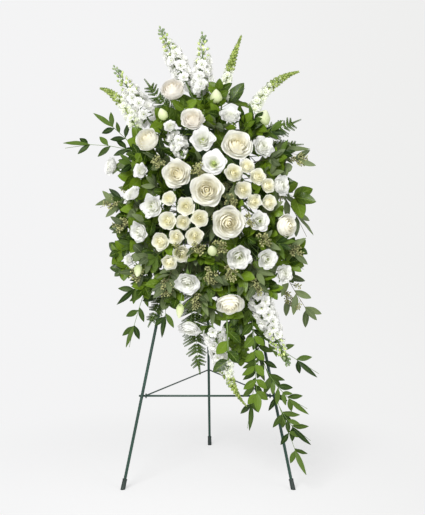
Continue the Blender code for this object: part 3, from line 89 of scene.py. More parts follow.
# The rounded front that the flower heads lie on
DOME_HEIGHT = 0.93
DOME_HALF_WIDTH = 0.335
DOME_HALF_LENGTH = 0.46
EDGE_RISE = 0.075
DOME_RISE = 0.195

# Stems, branches and leaves
NEXT_TURN = 2.4  # radians round a stem from one floret, seed or branch to the next
ROUTE_STEPS = 2  # straight parts that the plain stem to a flower has
BRANCH_STEPS = 6  # and a branch of leaves
SPIKE_STEPS = 6  # and a snapdragon
FINE_STEPS = 8  # parts of a stem as it is seen here
STEM_SIDES = 8
STALK_SIDES = 4  # of the plain stem of a spike
FOOT_REACH = 7 * MM  # how far a stem's straight foot stands out of the foam
ROSE_FOOT_RADIUS = 5 * MM
BUNDLE_FOOT_RADIUS = 4 * MM
STOCK_STEM_RADIUS = 2.8 * MM
SNAPDRAGON_STEM_RADIUS = 2.6 * MM
GREEN_FOOT_RADIUS = 2.6 * MM
FERN_FOOT_RADIUS = 2.4 * MM
SPIKE_SEAT = 8 * MM  # how far the stem of a spike runs on into its flowering part
FOOT_ROOM = 4.4 * MM  # radius that is kept free round a foot
ROSE_FOOT_ROOM = 6 * MM
BRANCH_RADIUS = 1.6 * MM  # of the first branch of a node
FROND_RADIUS = 1.4 * MM
THINNER = 0.07 * MM  # from one branch or frond of a node to the next
STRAIGHT_START = 3 * CM  # of a branch, out of its foot
BARE_SPACING = 8 * CM  # between corners of a branch below its leaves
LEAF_STALK = 4 * MM
LEAF_HOLD = 2.2 * MM  # from a corner to where a leaf's foot is held
LOBE_HOLD = 0.42  # the same for a fern, as a share of the way to the next corner

# How much leaves of one kind differ: shares of their width and length, degrees of lean and roll
WIDTH_SPREAD = (0.92, 1.08)
LENGTH_SPREAD = (0.88, 1.08)
LEAN_SPREAD = 7
ROLL_SPREAD = 16
TO_VIEWER = (0, -0.9, 0.25)  # what is added to the way out, to turn leaves to the front

# Stems of a bundle, in millimetres: how far off the foot's axis they start, radius and sides of the
# plain stem, radii of the fine one at its foot and top, its sides, and its straight neck
BUNDLE_STEMS = {
    "rose": (3, 3.2, 4, 3.3, 2.7, STEM_SIDES, 10),
    "spray_rose": (2.6, 1.7, 3, 1.8, 1.4, 6, 10),
    "lisianthus": (2.6, 1.6, 3, 1.8, 1.2, 6, 12),
}

# What is kept clear of the neighbours of a plain piece
LEAF_MARGIN = 0.6 * MM
STEM_MARGIN = 0.2 * MM
BRANCH_MARGIN = 0.7 * MM
BRANCH_ROOM = 2.4 * MM  # radius in which a branch has to be clear
SEED_MARGIN = 0.4 * MM
DEEPEST = 3 * CM  # how far off the nearest face of a neighbour is looked for

# Courses that are tried: millimetres that a stem is bowed by, ways round it, and shares of its
# length that it runs straight out of the foam, then the same for a branch, in centimetres
STEM_BOWS = (0, 10, 20, 32, 46, 60, 80)
STEM_BOW_WAYS = 8
STEM_PULLS = (0.3, 0.15, 0.5)
BRANCH_BOWS = (0, 1.5, 3, 4.5, 6)
BRANCH_BOW_WAYS = 6
BRANCH_LENGTHS = (1, 0.85, 0.7, 0.55)  # shares of its full length

# Blocks that the rear leg and the brace sweep when they fold: middle and half sizes
FOLD_SPACE = (
    ((PIVOT_X / 2, 0.16, 0.62), (0.02, 0.145, 0.62)),
    ((0, 0.02, 0.48), (0.20, 0.17, 0.22)),
)

SEEDS_ON_TWIG = 3  # of a plain twig, which tests if there is room for the fine one

# How far a leaf's edges are folded up from its rib, and its tip curls back, as shares of its size
FOLD = 0.16
CURL = 0.14

# Degrees of pitch and of roll that a leaf is turned by where the plain one would meet something
LEAF_TURNS = (
    (0, 0), (14, 0), (-14, 0), (0, 20), (0, -20), (28, 0), (-26, 0), (22, 20), (22, -20), (40, 0), (-40, 0),
)

# name: x, z, diameter, centimetres behind the dome, the way it faces, root bundle
ROSES = {
    "rose_crown": (-11.2, 127, 8.6, 3, (-0.15, -0.75, 0.65), "upper"),
    "rose_left_shoulder": (-18.9, 111, 8.3, 1, (-0.4, -0.8, 0.45), "upper"),
    "rose_upper": (-4.8, 117.8, 7.7, 3, (0, -0.85, 0.5), "upper"),
    "rose_right_shoulder": (9.2, 109.8, 9.6, 1, (0.15, -0.92, 0.35), "upper"),
    "rose_left": (-9.6, 100.8, 9, 0.5, (-0.15, -0.95, 0.15), "lower"),
    "rose_middle": (-0.3, 95.8, 10.2, -1, (0, -0.98, 0.1), "lower"),
    "rose_heart": (6.4, 85.8, 10.2, 0, (0.1, -0.97, -0.05), "lower"),
    "rose_right": (24.3, 84.5, 7.8, 1.5, (0.6, -0.75, 0.05), "lower"),
    "rose_low": (6.9, 60.5, 9, 0, (0.05, -0.72, -0.7), "lower"),
}

# spray: heads as x, z, diameter, centimetres behind the dome, the way it faces
LISIANTHUS = {
    "lisianthus_upper_right": [
        (7, 118.7, 6.6, 2, (0.1, -0.7, 0.7)),
        (17.3, 109.1, 7.2, 2, (0.45, -0.8, 0.35)),
    ],
    "lisianthus_upper": [
        (-1.6, 111.2, 7.6, 1.5, (0, -0.95, 0.3)),
        (1.9, 104.2, 8, 1, (0.05, -0.95, 0.3)),
        (-11.8, 115.4, 4.2, 3, (-0.2, -0.8, 0.5)),
    ],
    "lisianthus_left": [
        (-31, 103, 6.2, 0, (-0.85, -0.45, 0.25)),
        (-21, 101.6, 4.8, 1.5, (-0.4, -0.85, 0.3)),
        (-23.4, 94.6, 5.6, 0.5, (-0.5, -0.55, 0.65)),
        (-17.3, 90.6, 7.4, 0.5, (-0.5, -0.85, 0.05)),
        (-21.4, 82.6, 6.6, 1, (-0.6, -0.78, -0.15)),
        (-24.8, 74, 3.6, 1, (-0.6, -0.7, 0.2)),
    ],
    "lisianthus_right": [
        (22.9, 97, 7, 1, (0.75, -0.65, 0.15)),
        (16, 86.2, 6.4, 0.5, (0.3, -0.93, 0.1)),
    ],
    "lisianthus_lower_right": [
        (9.6, 75, 7.8, 1, (0.1, -0.93, -0.25)),
        (18.4, 74.4, 6.6, 1, (0.35, -0.9, -0.1)),
        (24, 69.4, 6.4, 1.5, (0.6, -0.75, 0.1)),
    ],
    "lisianthus_low": [
        (-6.1, 67.2, 7.7, 0.5, (-0.1, -0.9, -0.42)),
        (-5.8, 52.5, 7.4, 0.5, (-0.15, -0.55, -0.8)),
    ],
}

# spray: closed buds as x, z, diameter, length, centimetres behind the dome, the way each points
LISIANTHUS_BUDS = {
    "lisianthus_upper_right": [
        (2.6, 124.8, 3.2, 4.6, 3, (0, -0.35, 0.95)),
        (17.4, 118.2, 4.2, 5.2, 3, (0.35, -0.4, 0.85)),
    ],
    "lisianthus_upper": [(-14.2, 119.2, 2.6, 4, 2, (-0.3, -0.5, 0.85))],
    "lisianthus_left": [(-21.6, 70.6, 2.2, 4.2, 0.5, (-0.1, -0.6, -0.8))],
    "lisianthus_lower_right": [(1.3, 77.6, 2.4, 4.2, 0.5, (-0.1, -0.7, 0.6))],
    "lisianthus_low": [(-8.6, 58.6, 2, 4.6, -0.5, (-0.1, -0.35, -0.93))],
}

# cluster: heads as x, z, diameter, centimetres behind the dome, the way it faces
SPRAY_ROSES = {
    "spray_roses_left": [
        (-6.7, 90.8, 5.2, 0.2, (-0.1, -0.97, 0.15)),
        (-11.9, 93.2, 4.2, 0.2, (-0.25, -0.9, 0.3)),
        (-7.6, 86, 4.4, 1.6, (-0.1, -0.98, 0)),
        (-2.5, 87.2, 5, 0.6, (0, -0.99, 0)),
        (-12.4, 86.4, 5.2, 0.2, (-0.25, -0.95, 0.05)),
        (-9.6, 81.4, 4.4, 0.4, (-0.15, -0.97, -0.1)),
        (-4, 81.8, 5, 0.4, (0, -0.98, -0.1)),
        (-14.6, 80, 5.2, 0.6, (-0.35, -0.92, -0.1)),
        (-7.9, 76.2, 5, 1.2, (-0.1, -0.96, -0.2)),
        (-11.8, 73.6, 4.6, 0.6, (-0.15, -0.92, -0.35)),
    ],
    "spray_roses_right": [
        (7.9, 101, 5.2, 0.2, (0.15, -0.96, 0.15)),
        (12.2, 103, 4.4, 1, (0.25, -0.85, 0.4)),
        (15.4, 99.8, 4.8, 0.4, (0.3, -0.9, 0.25)),
        (18.6, 97, 4.4, 0.4, (0.45, -0.85, 0.15)),
        (10.8, 95.8, 5, 0.4, (0.2, -0.96, 0.05)),
        (14.2, 92.2, 4.4, 0.4, (0.25, -0.95, 0)),
        (19, 91.9, 4.6, 0.8, (0.45, -0.88, 0.05)),
    ],
}

# name: root, base and tip of the flowering part as x, z, rise, its width, whorls of florets
STOCK = {
    "stock_crown_left": (("top", -3, 6.6), (-6.6, 128.8, 9), (-15.6, 147.4, 8), 8.2, 7),
    "stock_crown": (("top", 0.4, 7.4), (-2, 126.4, 10), (-1.6, 144.6, 9), 8, 7),
    "stock_upper_left": (("left", 14.6, 6.8), (-19, 117.4, 7.5), (-30.2, 134.4, 6.5), 8.2, 7),
    "stock_middle": (("front", -7.4, 13.6), (-10, 111.6, 16), (-7.8, 106, 25), 7, 4),
    "stock_lower_right": (("bottom", 7.6, 6.6), (15.4, 63, 15), (25, 41.4, 12), 8, 7),
    "stock_low": (("bottom", 2.4, 5.4), (1.8, 51.6, 13), (6.8, 35.2, 10), 8, 6),
}

# name: root, start, bend and tip of the flowering part as x, z, rise, its width
SNAPDRAGONS = {
    "snapdragon_crown": (("top", 4.2, 6.4), (4.6, 124, 9), (6.4, 134, 9.5), (10.8, 145, 8), 5.2),
    "snapdragon_right": (("top", 7.6, 7.2), (14.4, 120.6, 8), (20, 131, 8.5), (29.4, 133.4, 7), 5.4),
    "snapdragon_left": (
        ("left", 15.6, 8.8), (-22.8, 115, 14), (-28.6, 126.6, 14), (-34.4, 127.6, 12), 5,
    ),
    "snapdragon_low": (("bottom", 5.4, 8.6), (6.4, 43, 16), (6.2, 35, 15), (12, 28.6, 12), 4),
}

# Roots of the bundles that go into the front of the foam: centimetres right and up from its middle
BUNDLE_ROOTS = {
    "rose_stems_upper": ("front", -2, 12),
    "rose_stems_lower": ("front", 1.6, 0.4),
    "spray_roses_left": ("front", -3.4, -3.4),
    "spray_roses_right": ("front", 5.4, 9.6),
    "lisianthus_upper_right": ("front", 4.6, 14.4),
    "lisianthus_upper": ("front", -4.6, 8.6),
    "lisianthus_left": ("front", -7.8, 2),
    "lisianthus_right": ("front", 7.4, 1.8),
    "lisianthus_lower_right": ("front", 4.6, -8.8),
    "lisianthus_low": ("front", -2.6, -12.6),
}

# Leaf shapes: length and width in centimetres, degrees from the stem, centimetres between pairs of
# leaves, and the half width at places along the plain blade
LEAF_KINDS = {
    "ruscus": (5.8, 2, 40, 5, ((0.45, 1),)),
    "broad_ruscus": (5.6, 2.9, 46, 3.8, ((0.5, 1),)),
    "salal": (9, 5.3, 54, 5.3, ((0.36, 0.85), (0.7, 0.9))),
    "small_salal": (6.8, 4.2, 54, 4.4, ((0.36, 0.85), (0.7, 0.9))),
    "silver_dollar": (5, 4, 64, 4.6, ((0.36, 0.9), (0.74, 0.86))),
    "long_eucalyptus": (7.6, 2.4, 36, 5.8, ((0.45, 1),)),
    "fern": (0, 1.3, 58, 2.5, ()),
}

# Slot and finish of each kind of leaf, finish of its twigs, rows and columns of a fine leaf, and
# whether smaller leaves grow between its pairs
LEAF_LOOKS = {
    "ruscus": ("ruscus_leaf", "ruscus", "stem", 8, 4, True),
    "broad_ruscus": ("broad_leaf", "broad_ruscus", "stem", 8, 6, True),
    "salal": ("broad_leaf", "salal", "stem", 10, 8, False),
    "small_salal": ("broad_leaf", "salal", "stem", 9, 6, True),
    "silver_dollar": ("eucalyptus_leaf", "eucalyptus", "twig", 8, 6, True),
    "long_eucalyptus": ("eucalyptus_leaf", "eucalyptus", "twig", 9, 4, True),
}
GREEN_FINISHES = ["ruscus", "broad_ruscus", "salal", "eucalyptus", "stem", "twig", "seed"]

# node: root, then branches. A branch starts at a share of the first branch, or at the root, and
# bends by way of points x, z, rise. It bears leaves of its kind from a share of its length, and a
# number of twigs with seeds.
GREENS = {
    "ruscus_left": (("left", 7.6, 7.4), [
        (None, ((-22, 108, 9), (-34, 112, 8), (-46.4, 108.6, 6)), "ruscus", 0.40, 0),
        (0.45, ((-30, 116, 8), (-36, 119, 6)), "ruscus", 0.15, 0),
    ]),
    "seeded_eucalyptus_left": (("left", 0.8, 7.4), [
        (None, ((-18, 96, 9), (-27, 94, 10), (-34.6, 89.6, 8)), "long_eucalyptus", 0.35, 4),
        (0.3, ((-22, 89, 12), (-27.6, 84.6, 11)), "long_eucalyptus", 0.3, 2),
    ]),
    "seeded_eucalyptus_right": (("right", 12, 7.4), [
        (None, ((16, 104, 9), (24, 108, 8), (31.4, 106, 7)), "long_eucalyptus", 0.4, 4),
        (None, ((21, 99, 4), (28, 90, 3), (32, 80, 3)), "long_eucalyptus", 0.5, 3),
    ]),
    "seeded_eucalyptus_middle": (("front", 0.6, 4.9), [
        (None, ((2, 94, 15), (1.6, 86, 18), (0.4, 79, 20)), "long_eucalyptus", 0.4, 3),
        (None, ((6, 98, 15), (11, 92, 17), (13.6, 84, 19)), "long_eucalyptus", 0.3, 3),
        (None, ((2, 101, 14), (-3, 105, 17), (-4, 104, 20)), "long_eucalyptus", 0.4, 2),
    ]),
    "seeded_eucalyptus_lower_right": (("right", -3.8, 8.4), [
        (None, ((18, 80, 9), (25, 66, 8), (30.6, 58, 7), (34, 54, 6)),
         "long_eucalyptus", 0.35, 4),
    ]),
    "silver_dollar_left": (("left", 11, 5.4), [
        (None, ((-18, 106, 6), (-26, 104.6, 6), (-32.4, 103, 5)), "silver_dollar", 0.2, 0),
        (0.3, ((-22, 100, 9), (-27, 99, 10)), "silver_dollar", 0.2, 0),
    ]),
    "silver_dollar_low": (("bottom", -0.6, 8.4), [
        (None, ((0, 70, 13), (1, 62, 14), (2, 54, 14)), "long_eucalyptus", 0.2, 0),
        (None, ((-8, 72, 11), (-12, 66, 11), (-14, 58, 11)), "silver_dollar", 0.3, 0),
    ]),
    "ruscus_lower_left": (("left", -14.4, 7.4), [
        (None, ((-17, 68, 8), (-22, 58, 8), (-25, 45.6, 7)), "ruscus", 0.30, 0),
        (0.4, ((-22, 64, 9), (-29, 59, 8)), "ruscus", 0.15, 0),
        (0.3, ((-12, 60, 12), (-14, 50, 10)), "ruscus", 0.15, 0),
    ]),
    "ruscus_trail": (("bottom", 5.2, 5.4), [
        (None, ((9, 64, 8), (14, 52, 9), (19, 38, 8), (24, 22, 6), (30, 7, 5)),
         "ruscus", 0.36, 0),
        (0.42, ((25, 44, 9), (35, 37.6, 8)), "ruscus", 0.15, 0),
        (0.60, ((24, 29, 8), (31.4, 26.6, 7)), "ruscus", 0.15, 0),
        (0.52, ((14, 32, 8), (12.4, 20.6, 7)), "ruscus", 0.15, 0),
        (0.76, ((27, 19, 6), (32.4, 16.6, 6)), "ruscus", 0.15, 0),
    ]),
    "broad_ruscus_trail": (("bottom", 8.8, 8.8), [
        (None, ((13, 66, 12), (13.6, 52, 14), (13, 38, 13), (15.4, 27.6, 11)),
         "broad_ruscus", 0.2, 0),
        (0.3, ((18, 58, 11), (22, 46, 11)), "broad_ruscus", 0.1, 0),
        (None, ((5, 66, 11), (2, 58, 11), (-1, 48, 11)), "broad_ruscus", 0.2, 0),
    ]),
    "salal_left": (("left", -8.4, 6.6), [
        (None, ((-16, 82, 8), (-22, 78, 9), (-26.4, 76, 8)), "salal", 0.24, 0),
        (0.3, ((-18, 72, 11), (-21, 66.4, 10)), "salal", 0.2, 0),
        (0.1, ((-16, 88, 13), (-12, 82, 16), (-6, 76, 16)), "salal", 0.2, 0),
    ]),
    "salal_right": (("right", 4.4, 6.8), [
        (None, ((17, 96, 7), (26, 92.6, 7), (33.6, 91, 7)), "salal", 0.24, 0),
        (0.2, ((20, 101, 8), (25.6, 105.6, 7)), "salal", 0.2, 0),
        (0.1, ((15, 106, 7), (17, 114, 6), (19, 121, 6)), "salal", 0.4, 0),
        (0.1, ((15, 98, 13), (12, 106, 15), (4, 110, 14)), "salal", 0.2, 0),
    ]),
    "salal_lower": (("right", -12.4, 6.8), [
        (None, ((17, 78, 7), (25, 75, 6), (30.6, 70, 7)), "salal", 0.24, 0),
        (0.16, ((12, 60, 10), (9, 54.6, 12)), "salal", 0.2, 0),
        (0.1, ((14, 78, 14), (6, 72, 16), (-2, 70, 16)), "salal", 0.2, 0),
    ]),
    "salal_upper": (("top", -5.4, 9), [
        (None, ((-7.4, 118.6, 10), (-4.4, 124.6, 7), (0.4, 131.4, 6)), "salal", 0.2, 0),
        (0.1, ((-14, 116, 9), (-22, 108.6, 11)), "salal", 0.3, 0),
        (None, ((2, 120, 9), (8, 122, 8), (12, 128, 7)), "salal", 0.2, 0),
    ]),
    "salal_middle": (("front", 1.4, 7.6), [
        (None, ((4, 104, 14), (4, 110, 15), (7, 118, 15)), "small_salal", 0.2, 0),
        (None, ((-3, 102, 13.5), (-8, 107, 14), (-15, 108, 13)), "small_salal", 0.2, 0),
        (None, ((8, 96, 14), (12, 88, 15), (13, 80, 16)), "small_salal", 0.2, 0),
        (None, ((-2, 95, 14), (-5, 88, 15), (-5, 80, 16)), "small_salal", 0.2, 0),
    ]),
}

# node: root, then fronds. A frond runs from the root by way of a point to its tip, as x, z, rise,
# and has that greatest width
FERNS = {
    "fern_upper_left": (("top", -7.8, 6.4), [(((-13, 119, 6), (-20.6, 131, 5)), 11)]),
    "fern_right": (("right", 15.4, 5.4), [
        (((18, 112, 5), (30, 118, 4)), 12),
        (((20, 108, 6), (30.6, 110, 6)), 9),
    ]),
    "fern_low": (("bottom", -3, 6.4), [
        (((-6, 60, 8), (-2.6, 37.4, 6)), 16),
        (((-14, 64, 6), (-19, 52, 6)), 11),
    ]),
}

# Looks of the flowers
PALE_ROSES = ("rose_crown", "rose_upper")
CLOSED_ROSES = ("rose_crown", "rose_left_shoulder", "rose_right")
OPEN_FLOWERS = (("lisianthus_upper", 1),)  # sprays and their heads that are open to the pistil
ROSE_SEAT = 0.62  # from a bloom's middle back to its foot, as a share of its radius
LISIANTHUS_SEAT = 0.66
ROSE_FULLNESS = 0.93  # a bloom's radius in the petal layers, as a share of the one in its table
SPRAY_ROSE_FULLNESS = 1.0
LISIANTHUS_FULLNESS = 0.94
SEEDS_SHOWN = 17  # seed cases on one fine twig
OPEN_SHARE = 0.60  # of a spike's length, below its buds
FLORET_SPACING = 5.2 * MM  # along a spike of stock
BUD_SPACING = 3.4 * MM
BUD_OVERLAP = 0.16  # share of a stock's length on which buds and florets mix
STOCK_FULLNESS = 0.56  # a floret's radius, as a share of its reach from the stem
FULL_STOCK_FULLNESS = 0.66  # the same on a spike that has florets up to its tip
LARGEST_FLORET = 2 * CM
SNAP_SPACING = 5.0 * MM  # between florets along a snapdragon
SNAP_BUD_SPACING = 1.6 * MM
SNAP_OVERLAP = 0.15  # share of its length on which florets thin out among the buds
SNAP_BUDS_FROM = 0.22  # share of its length by which the first buds stand below the open part's end
SNAPDRAGON_OPEN_SHARES = {"snapdragon_low": 0.45}

# Looks of the easel
ROD_SIDES = 20  # of a painted rod
RIBBED_SIDES = 16  # of a ribbed one
EYE_STEPS = 32
EYE_SIDES = 12
BRACE_SIDES = 14
LEG_START = 9 * MM  # how far above the floor a leg starts in its tip
LEG_CAP = 0.02  # length of the plain rod inside each end of a ribbed leg
LEG_RIB = 11 * MM  # from one ridge of a ribbed leg to the next
LEG_RIB_DEPTH = 0.35 * MM
RING_WIRE = 2.2 * MM  # of the eye at the top of the rear leg
BEND_ROOM = 1.2 * MM  # between the brace's bend and the rear leg
BEND_STEPS = 12
EYE_INSET = 0.013  # from a front leg's middle to the brace's eye
TIP_SIDES = 24
TIP_PROFILE = (  # distance along the leg from the floor, and share of the tip's radius
    (-0.006, 0.02), (-0.006, 0.96), (0.001, 1), (0.012, 1), (0.022, 0.95), (0.029, 0.93), (0.03, 1),
    (0.033, 1), (0.034, 0.94),
)
EASEL_NODES = (  # in the order in which they get in the way
    "tip_left", "tip_right", "tip_rear", "leg_front_left", "leg_front_right", "crossbar", "hanger_bar_lower",
    "hanger_bar_upper", "head", "leg_rear", "brace_wire", "foam_cage",
)

# Greens between the flowers: piece, slot, and rows of leaf kind, count, share of the way to the
# front's edge that they stay within, centimetres behind the front, leaf scale, and whether they
# keep to the gaps between the blooms
FILLERS = (
    ("filler_salal", "broad_leaf", (
        ("salal", 34, 0.72, (6.5, 9.5), 0.80, False),
        ("salal", 14, 0.70, (4, 7), 0.66, True),
        ("small_salal", 18, 0.76, (3, 6), 0.70, True),
    )),
    ("filler_ruscus", "ruscus_leaf", (
        ("ruscus", 20, 0.84, (3, 6.5), 0.90, True),
    )),
    ("filler_eucalyptus", "eucalyptus_leaf", (
        ("long_eucalyptus", 20, 0.70, (2.5, 5.5), 0.80, True),
        ("silver_dollar", 6, 0.74, (3, 5.5), 0.80, True),
    )),
)
FILLER_TOP = 117.0  # no random filler stands above this height, in centimetres
LEAF_SPOTS = (
    (-7.5, 121), (-1, 121.5), (3.5, 119.5), (0.4, 116.5), (5.4, 115), (-8.5, 112.5), (12, 114.5),
    (-13.7, 95), (-3, 76), (12.6, 90.5), (19.6, 88.6), (-3.6, 78), (10.5, 97.5), (14.5, 93),
    (-5.5, 107), (17, 68), (19.5, 64.5), (-20, 65), (-28, 76), (-26.5, 70.5), (-27, 84),
    (28, 77), (26, 72), (2.4, 123.6), (3.4, 126.6), (8, 57.5), (9.5, 54),
    (7.5, 50.5), (9, 46.5), (10.5, 42.5), (-8.4, 95.4), (0, 81.4), (-5.4, 89.6),
    (-4.4, 82.4), (-8.4, 82.6), (-11.4, 91.2), (-12.6, 79), (14.8, 91.6),
)
SEED_SPOTS = (
    (-15.4, 104), (-2.9, 101.8), (29, 105), (-30, 91.2), (-26.6, 84.8), (7.2, 92.4), (3.8, 78.4), (0.6, 69.8),
    (17.3, 80.6), (27, 76.5), (7, 70.4), (26, 60), (-13, 65.6), (-22, 70), (12, 86), (-9, 78),
    (15, 66), (-4, 62), (-3.2, 78.4),
)
STALK_LEAVES = 9  # leaves on the bare stalk of the lowest snapdragon
FILLER_STEPS = 9  # parts of a filler's stem
TIP_TRIES = 24  # random places that a filler's tip is chosen from
BLOOM_WEIGHT = 1.4  # what a centimetre away from a bloom counts for, against one from a filler
BLOOM_GAP = 2.0  # most that the way to the nearest bloom counts for
FILLER_GAP = 6.0  # and the way to the nearest filler
NO_FACES = [(0.0, 0.0, 0.0)]  # for fillers that may stand behind blooms
LEAF_TRIES = 4  # turns that are tried for a filler's leaf
LEAF_SPOT_BEHIND = (2.5, 5.0)  # centimetres behind the front
SEED_SPOT_BEHIND = 1.4
ROOT_SPREAD = (0.8, 0.85, 0.6)  # shares of the foam's half width, half length and depth
FILLER_BOW = 12 * MM  # how far a filler's stem is bowed towards the viewer
SEEDS_IN_SPOT = 6  # twigs of seed cases that stand together at one place

# Stage: the camera's place and target from the easel's middle, the tones of the floor and the
# backdrop, and each lamp's place, power and size
CAMERA_PLACE = (0.0144, -3.55, 1.05)
CAMERA_TARGET = (0.0144, -0.25, 0.744)
LENS = 74.0
FLOOR_TONE = (0.86, 0.86, 0.86)
FLOOR_FADE = (0.30, 1.00)  # from the middle, where the floor turns into plain light
FLOOR_GLOW = 0.62  # share of plain light in the floor under the easel
BACKDROP_TONE = (0.905, 0.905, 0.91)
SHADED_RIGHT_GLOW = (0.862, 0.862, 0.855)  # the backdrop's dimmer glow at its right: painted shade, as light falls off to the right
FLOOR_DROP = 0.0004
TONE_FADE = (-1, 2.2)  # from left to right, where one tone of the backdrop turns into the other
STAGE_SIDES = 48
STAGE_PROFILE = (  # radius and height, from the middle of the floor to the top of the wall
    (0.02, 0), (2.4, 0), (5.8, 0), (6.65, 0.12), (7, 0.6), (7, 3.4),
)
CEILING_LIGHT = 0.34
LAMP_TARGET = (0, -0.2, 0.8)
LAMPS = (
    ("key", (-1.3, -3.6, 2.9), 215, 2),
    ("fill", (2.6, -3.2, 1.4), 60, 2.2),
)

bare_stalks = {}  # courses of the snapdragons' stems, by name
obstacles = []  # (name, tree, low corner, high corner) of what is built or planned so far
growing = [None]  # the name of the node that is being built, which isn't in its own way


def leg_plane_y(height):
    """Y of the plane of the front legs at a height."""
    return FRONT_FOOT_Y * (1 - height / APEX_HEIGHT)


def plane_up():
    return Vector((0, -FRONT_FOOT_Y, APEX_HEIGHT)).normalized()


def plane_out():
    """Away from the plane of the front legs, towards the viewer."""
    return plane_up().cross(Vector((1, 0, 0))) * -1


def on_holder(right, up, out):
    """A point of the foam cage's own frame: metres from the foam's middle line on the leg plane."""
    middle = Vector((0, leg_plane_y(FOAM_HEIGHT_ABOVE_FLOOR), FOAM_HEIGHT_ABOVE_FLOOR))
    return middle + Vector((right, 0, 0)) + plane_up() * up + plane_out() * out


def on_front(x, z, rise):
    """A point given in centimetres, as in the tables."""
    return Vector((x * CM, leg_plane_y(z * CM) - rise * CM, z * CM))


def on_dome(x, z, behind):
    """The point of the rounded front at x and z, pushed back by a few centimetres."""
    share = 1 - (x * CM / DOME_HALF_WIDTH) ** 2 - ((z * CM - DOME_HEIGHT) / DOME_HALF_LENGTH) ** 2
    rise = EDGE_RISE + DOME_RISE * math.sqrt(max(share, 0.0))
    return on_front(x, z, rise / CM - behind)


def foam_root(face, first, second):
    """A root's point on a face of the foam and the way out of it. Front roots are given right and
    up from the middle, side roots up and out, and end roots right and out, in centimetres."""
    out = plane_out()
    if face == "front":
        return on_holder(first * CM, second * CM, FOAM_FRONT), out
    if face in ("left", "right"):
        side = -1 if face == "left" else 1
        return on_holder(side * FOAM_HALF_WIDTH, first * CM, second * CM), Vector((side, 0, 0))
    side = -1 if face == "bottom" else 1
    return on_holder(first * CM, side * FOAM_HALF_LENGTH, second * CM), plane_up() * side


def across(direction):
    """Two unit vectors square to a direction and to each other."""
    helper = Vector((0, 0, 1)) if abs(direction.z) < 0.9 else Vector((1, 0, 0))
    first = direction.cross(helper).normalized()
    return first, direction.cross(first).normalized()


def spoke(side, up, turn):
    """The way out at an angle round an axis, between two directions that are square to it."""
    return side * math.cos(turn) + up * math.sin(turn)


def whorled(along, k, wobble, rng):
    """The way out for the k-th of the florets, buds or seeds that wind round a stem."""
    turn = NEXT_TURN * k + rng.uniform(-wobble, wobble)
    return spoke(*across(along), turn)


def length_of(points):
    return sum((b - a).length for a, b in zip(points, points[1:]))


def joined(rings):
    return [point for ring in rings for point in ring]


def bezier(controls, steps):
    """Points along the smooth curve that the control points pull."""
    curve = []
    for step in range(steps + 1):
        share = step / steps
        level = list(controls)
        while len(level) > 1:
            level = [a.lerp(b, share) for a, b in zip(level, level[1:])]
        curve.append(level[0])
    return curve


def tangents(points):
    ends = [points[0]] + list(points) + [points[-1]]
    return [(ends[i + 2] - ends[i]).normalized() for i in range(len(points))]


def ring_faces(rings, sides):
    """Quads between rings of equal count, numbered one after another."""
    faces = []
    for ring in range(rings - 1):
        low = ring * sides
        high = low + sides
        for k in range(sides):
            after = (k + 1) % sides
            faces.append((low + k, low + after, high + after, high + k))
    return faces


def rings_along(points, radii, sides):
    """Round rings along a route, one at each of its points."""
    if not hasattr(radii, "__len__"):
        radii = [radii] * len(points)
    directions = tangents(points)
    side = across(directions[0])[0]
    rings = []
    for point, way, radius in zip(points, directions, radii):
        side = (side - way * side.dot(way)).normalized()
        up = way.cross(side)
        rings.append([point + spoke(side, up, 2 * math.pi * k / sides) * radius for k in range(sides)])
    return rings


def tube(points, radii, sides):
    """A closed round rod through points. Its flat ends are single faces."""
    vertices = joined(rings_along(points, radii, sides))
    last = len(vertices) - sides
    faces = ring_faces(len(points), sides)
    faces.append(tuple(reversed(range(sides))))
    faces.append(tuple(range(last, last + sides)))
    return vertices, faces


def box(centre, right, up, out, half):
    """A block with half sizes along three directions."""
    vertices = []
    for a in (-1, 1):
        for b in (-1, 1):
            for c in (-1, 1):
                vertices.append(centre + right * (a * half[0]) + up * (b * half[1]) + out * (c * half[2]))
    faces = [(0, 1, 3, 2), (4, 6, 7, 5), (0, 4, 5, 1), (2, 3, 7, 6), (0, 2, 6, 4), (1, 5, 7, 3)]
    return vertices, faces


def capped_rings(rings, base, tip):
    """A closed solid through rings of points, with a point at each end."""
    sides = len(rings[0])
    vertices = joined(rings) + [base, tip]
    faces = ring_faces(len(rings), sides)
    last = (len(rings) - 1) * sides
    for k in range(sides):
        after = (k + 1) % sides
        faces.append((len(vertices) - 2, after, k))
        faces.append((len(vertices) - 1, last + k, last + after))
    return vertices, faces


def blade_edge(base, way, lateral, normal, length, width, stations):
    """Edge points of a leaf: out along its lower side, its tip, and back along its upper side. It
    is folded up along its rib and curls back at its tip."""
    lower, upper = [], []
    for share, half_width in stations:
        middle = base + way * (length * share) - normal * (CURL * length * share * share)
        half = 0.5 * width * half_width
        lower.append(middle - lateral * half + normal * (FOLD * half))
        upper.append(middle + lateral * half + normal * (FOLD * half))
    tip = base + way * length - normal * (CURL * length)
    return lower, tip, upper


def lens(edge, base, normal):
    """A thin closed stand-in for a leaf, to test whether it is clear."""
    rim = [base] + edge
    middle = sum(rim, Vector()) / len(rim)
    return capped_rings([rim], middle - normal * MM, middle + normal * MM)


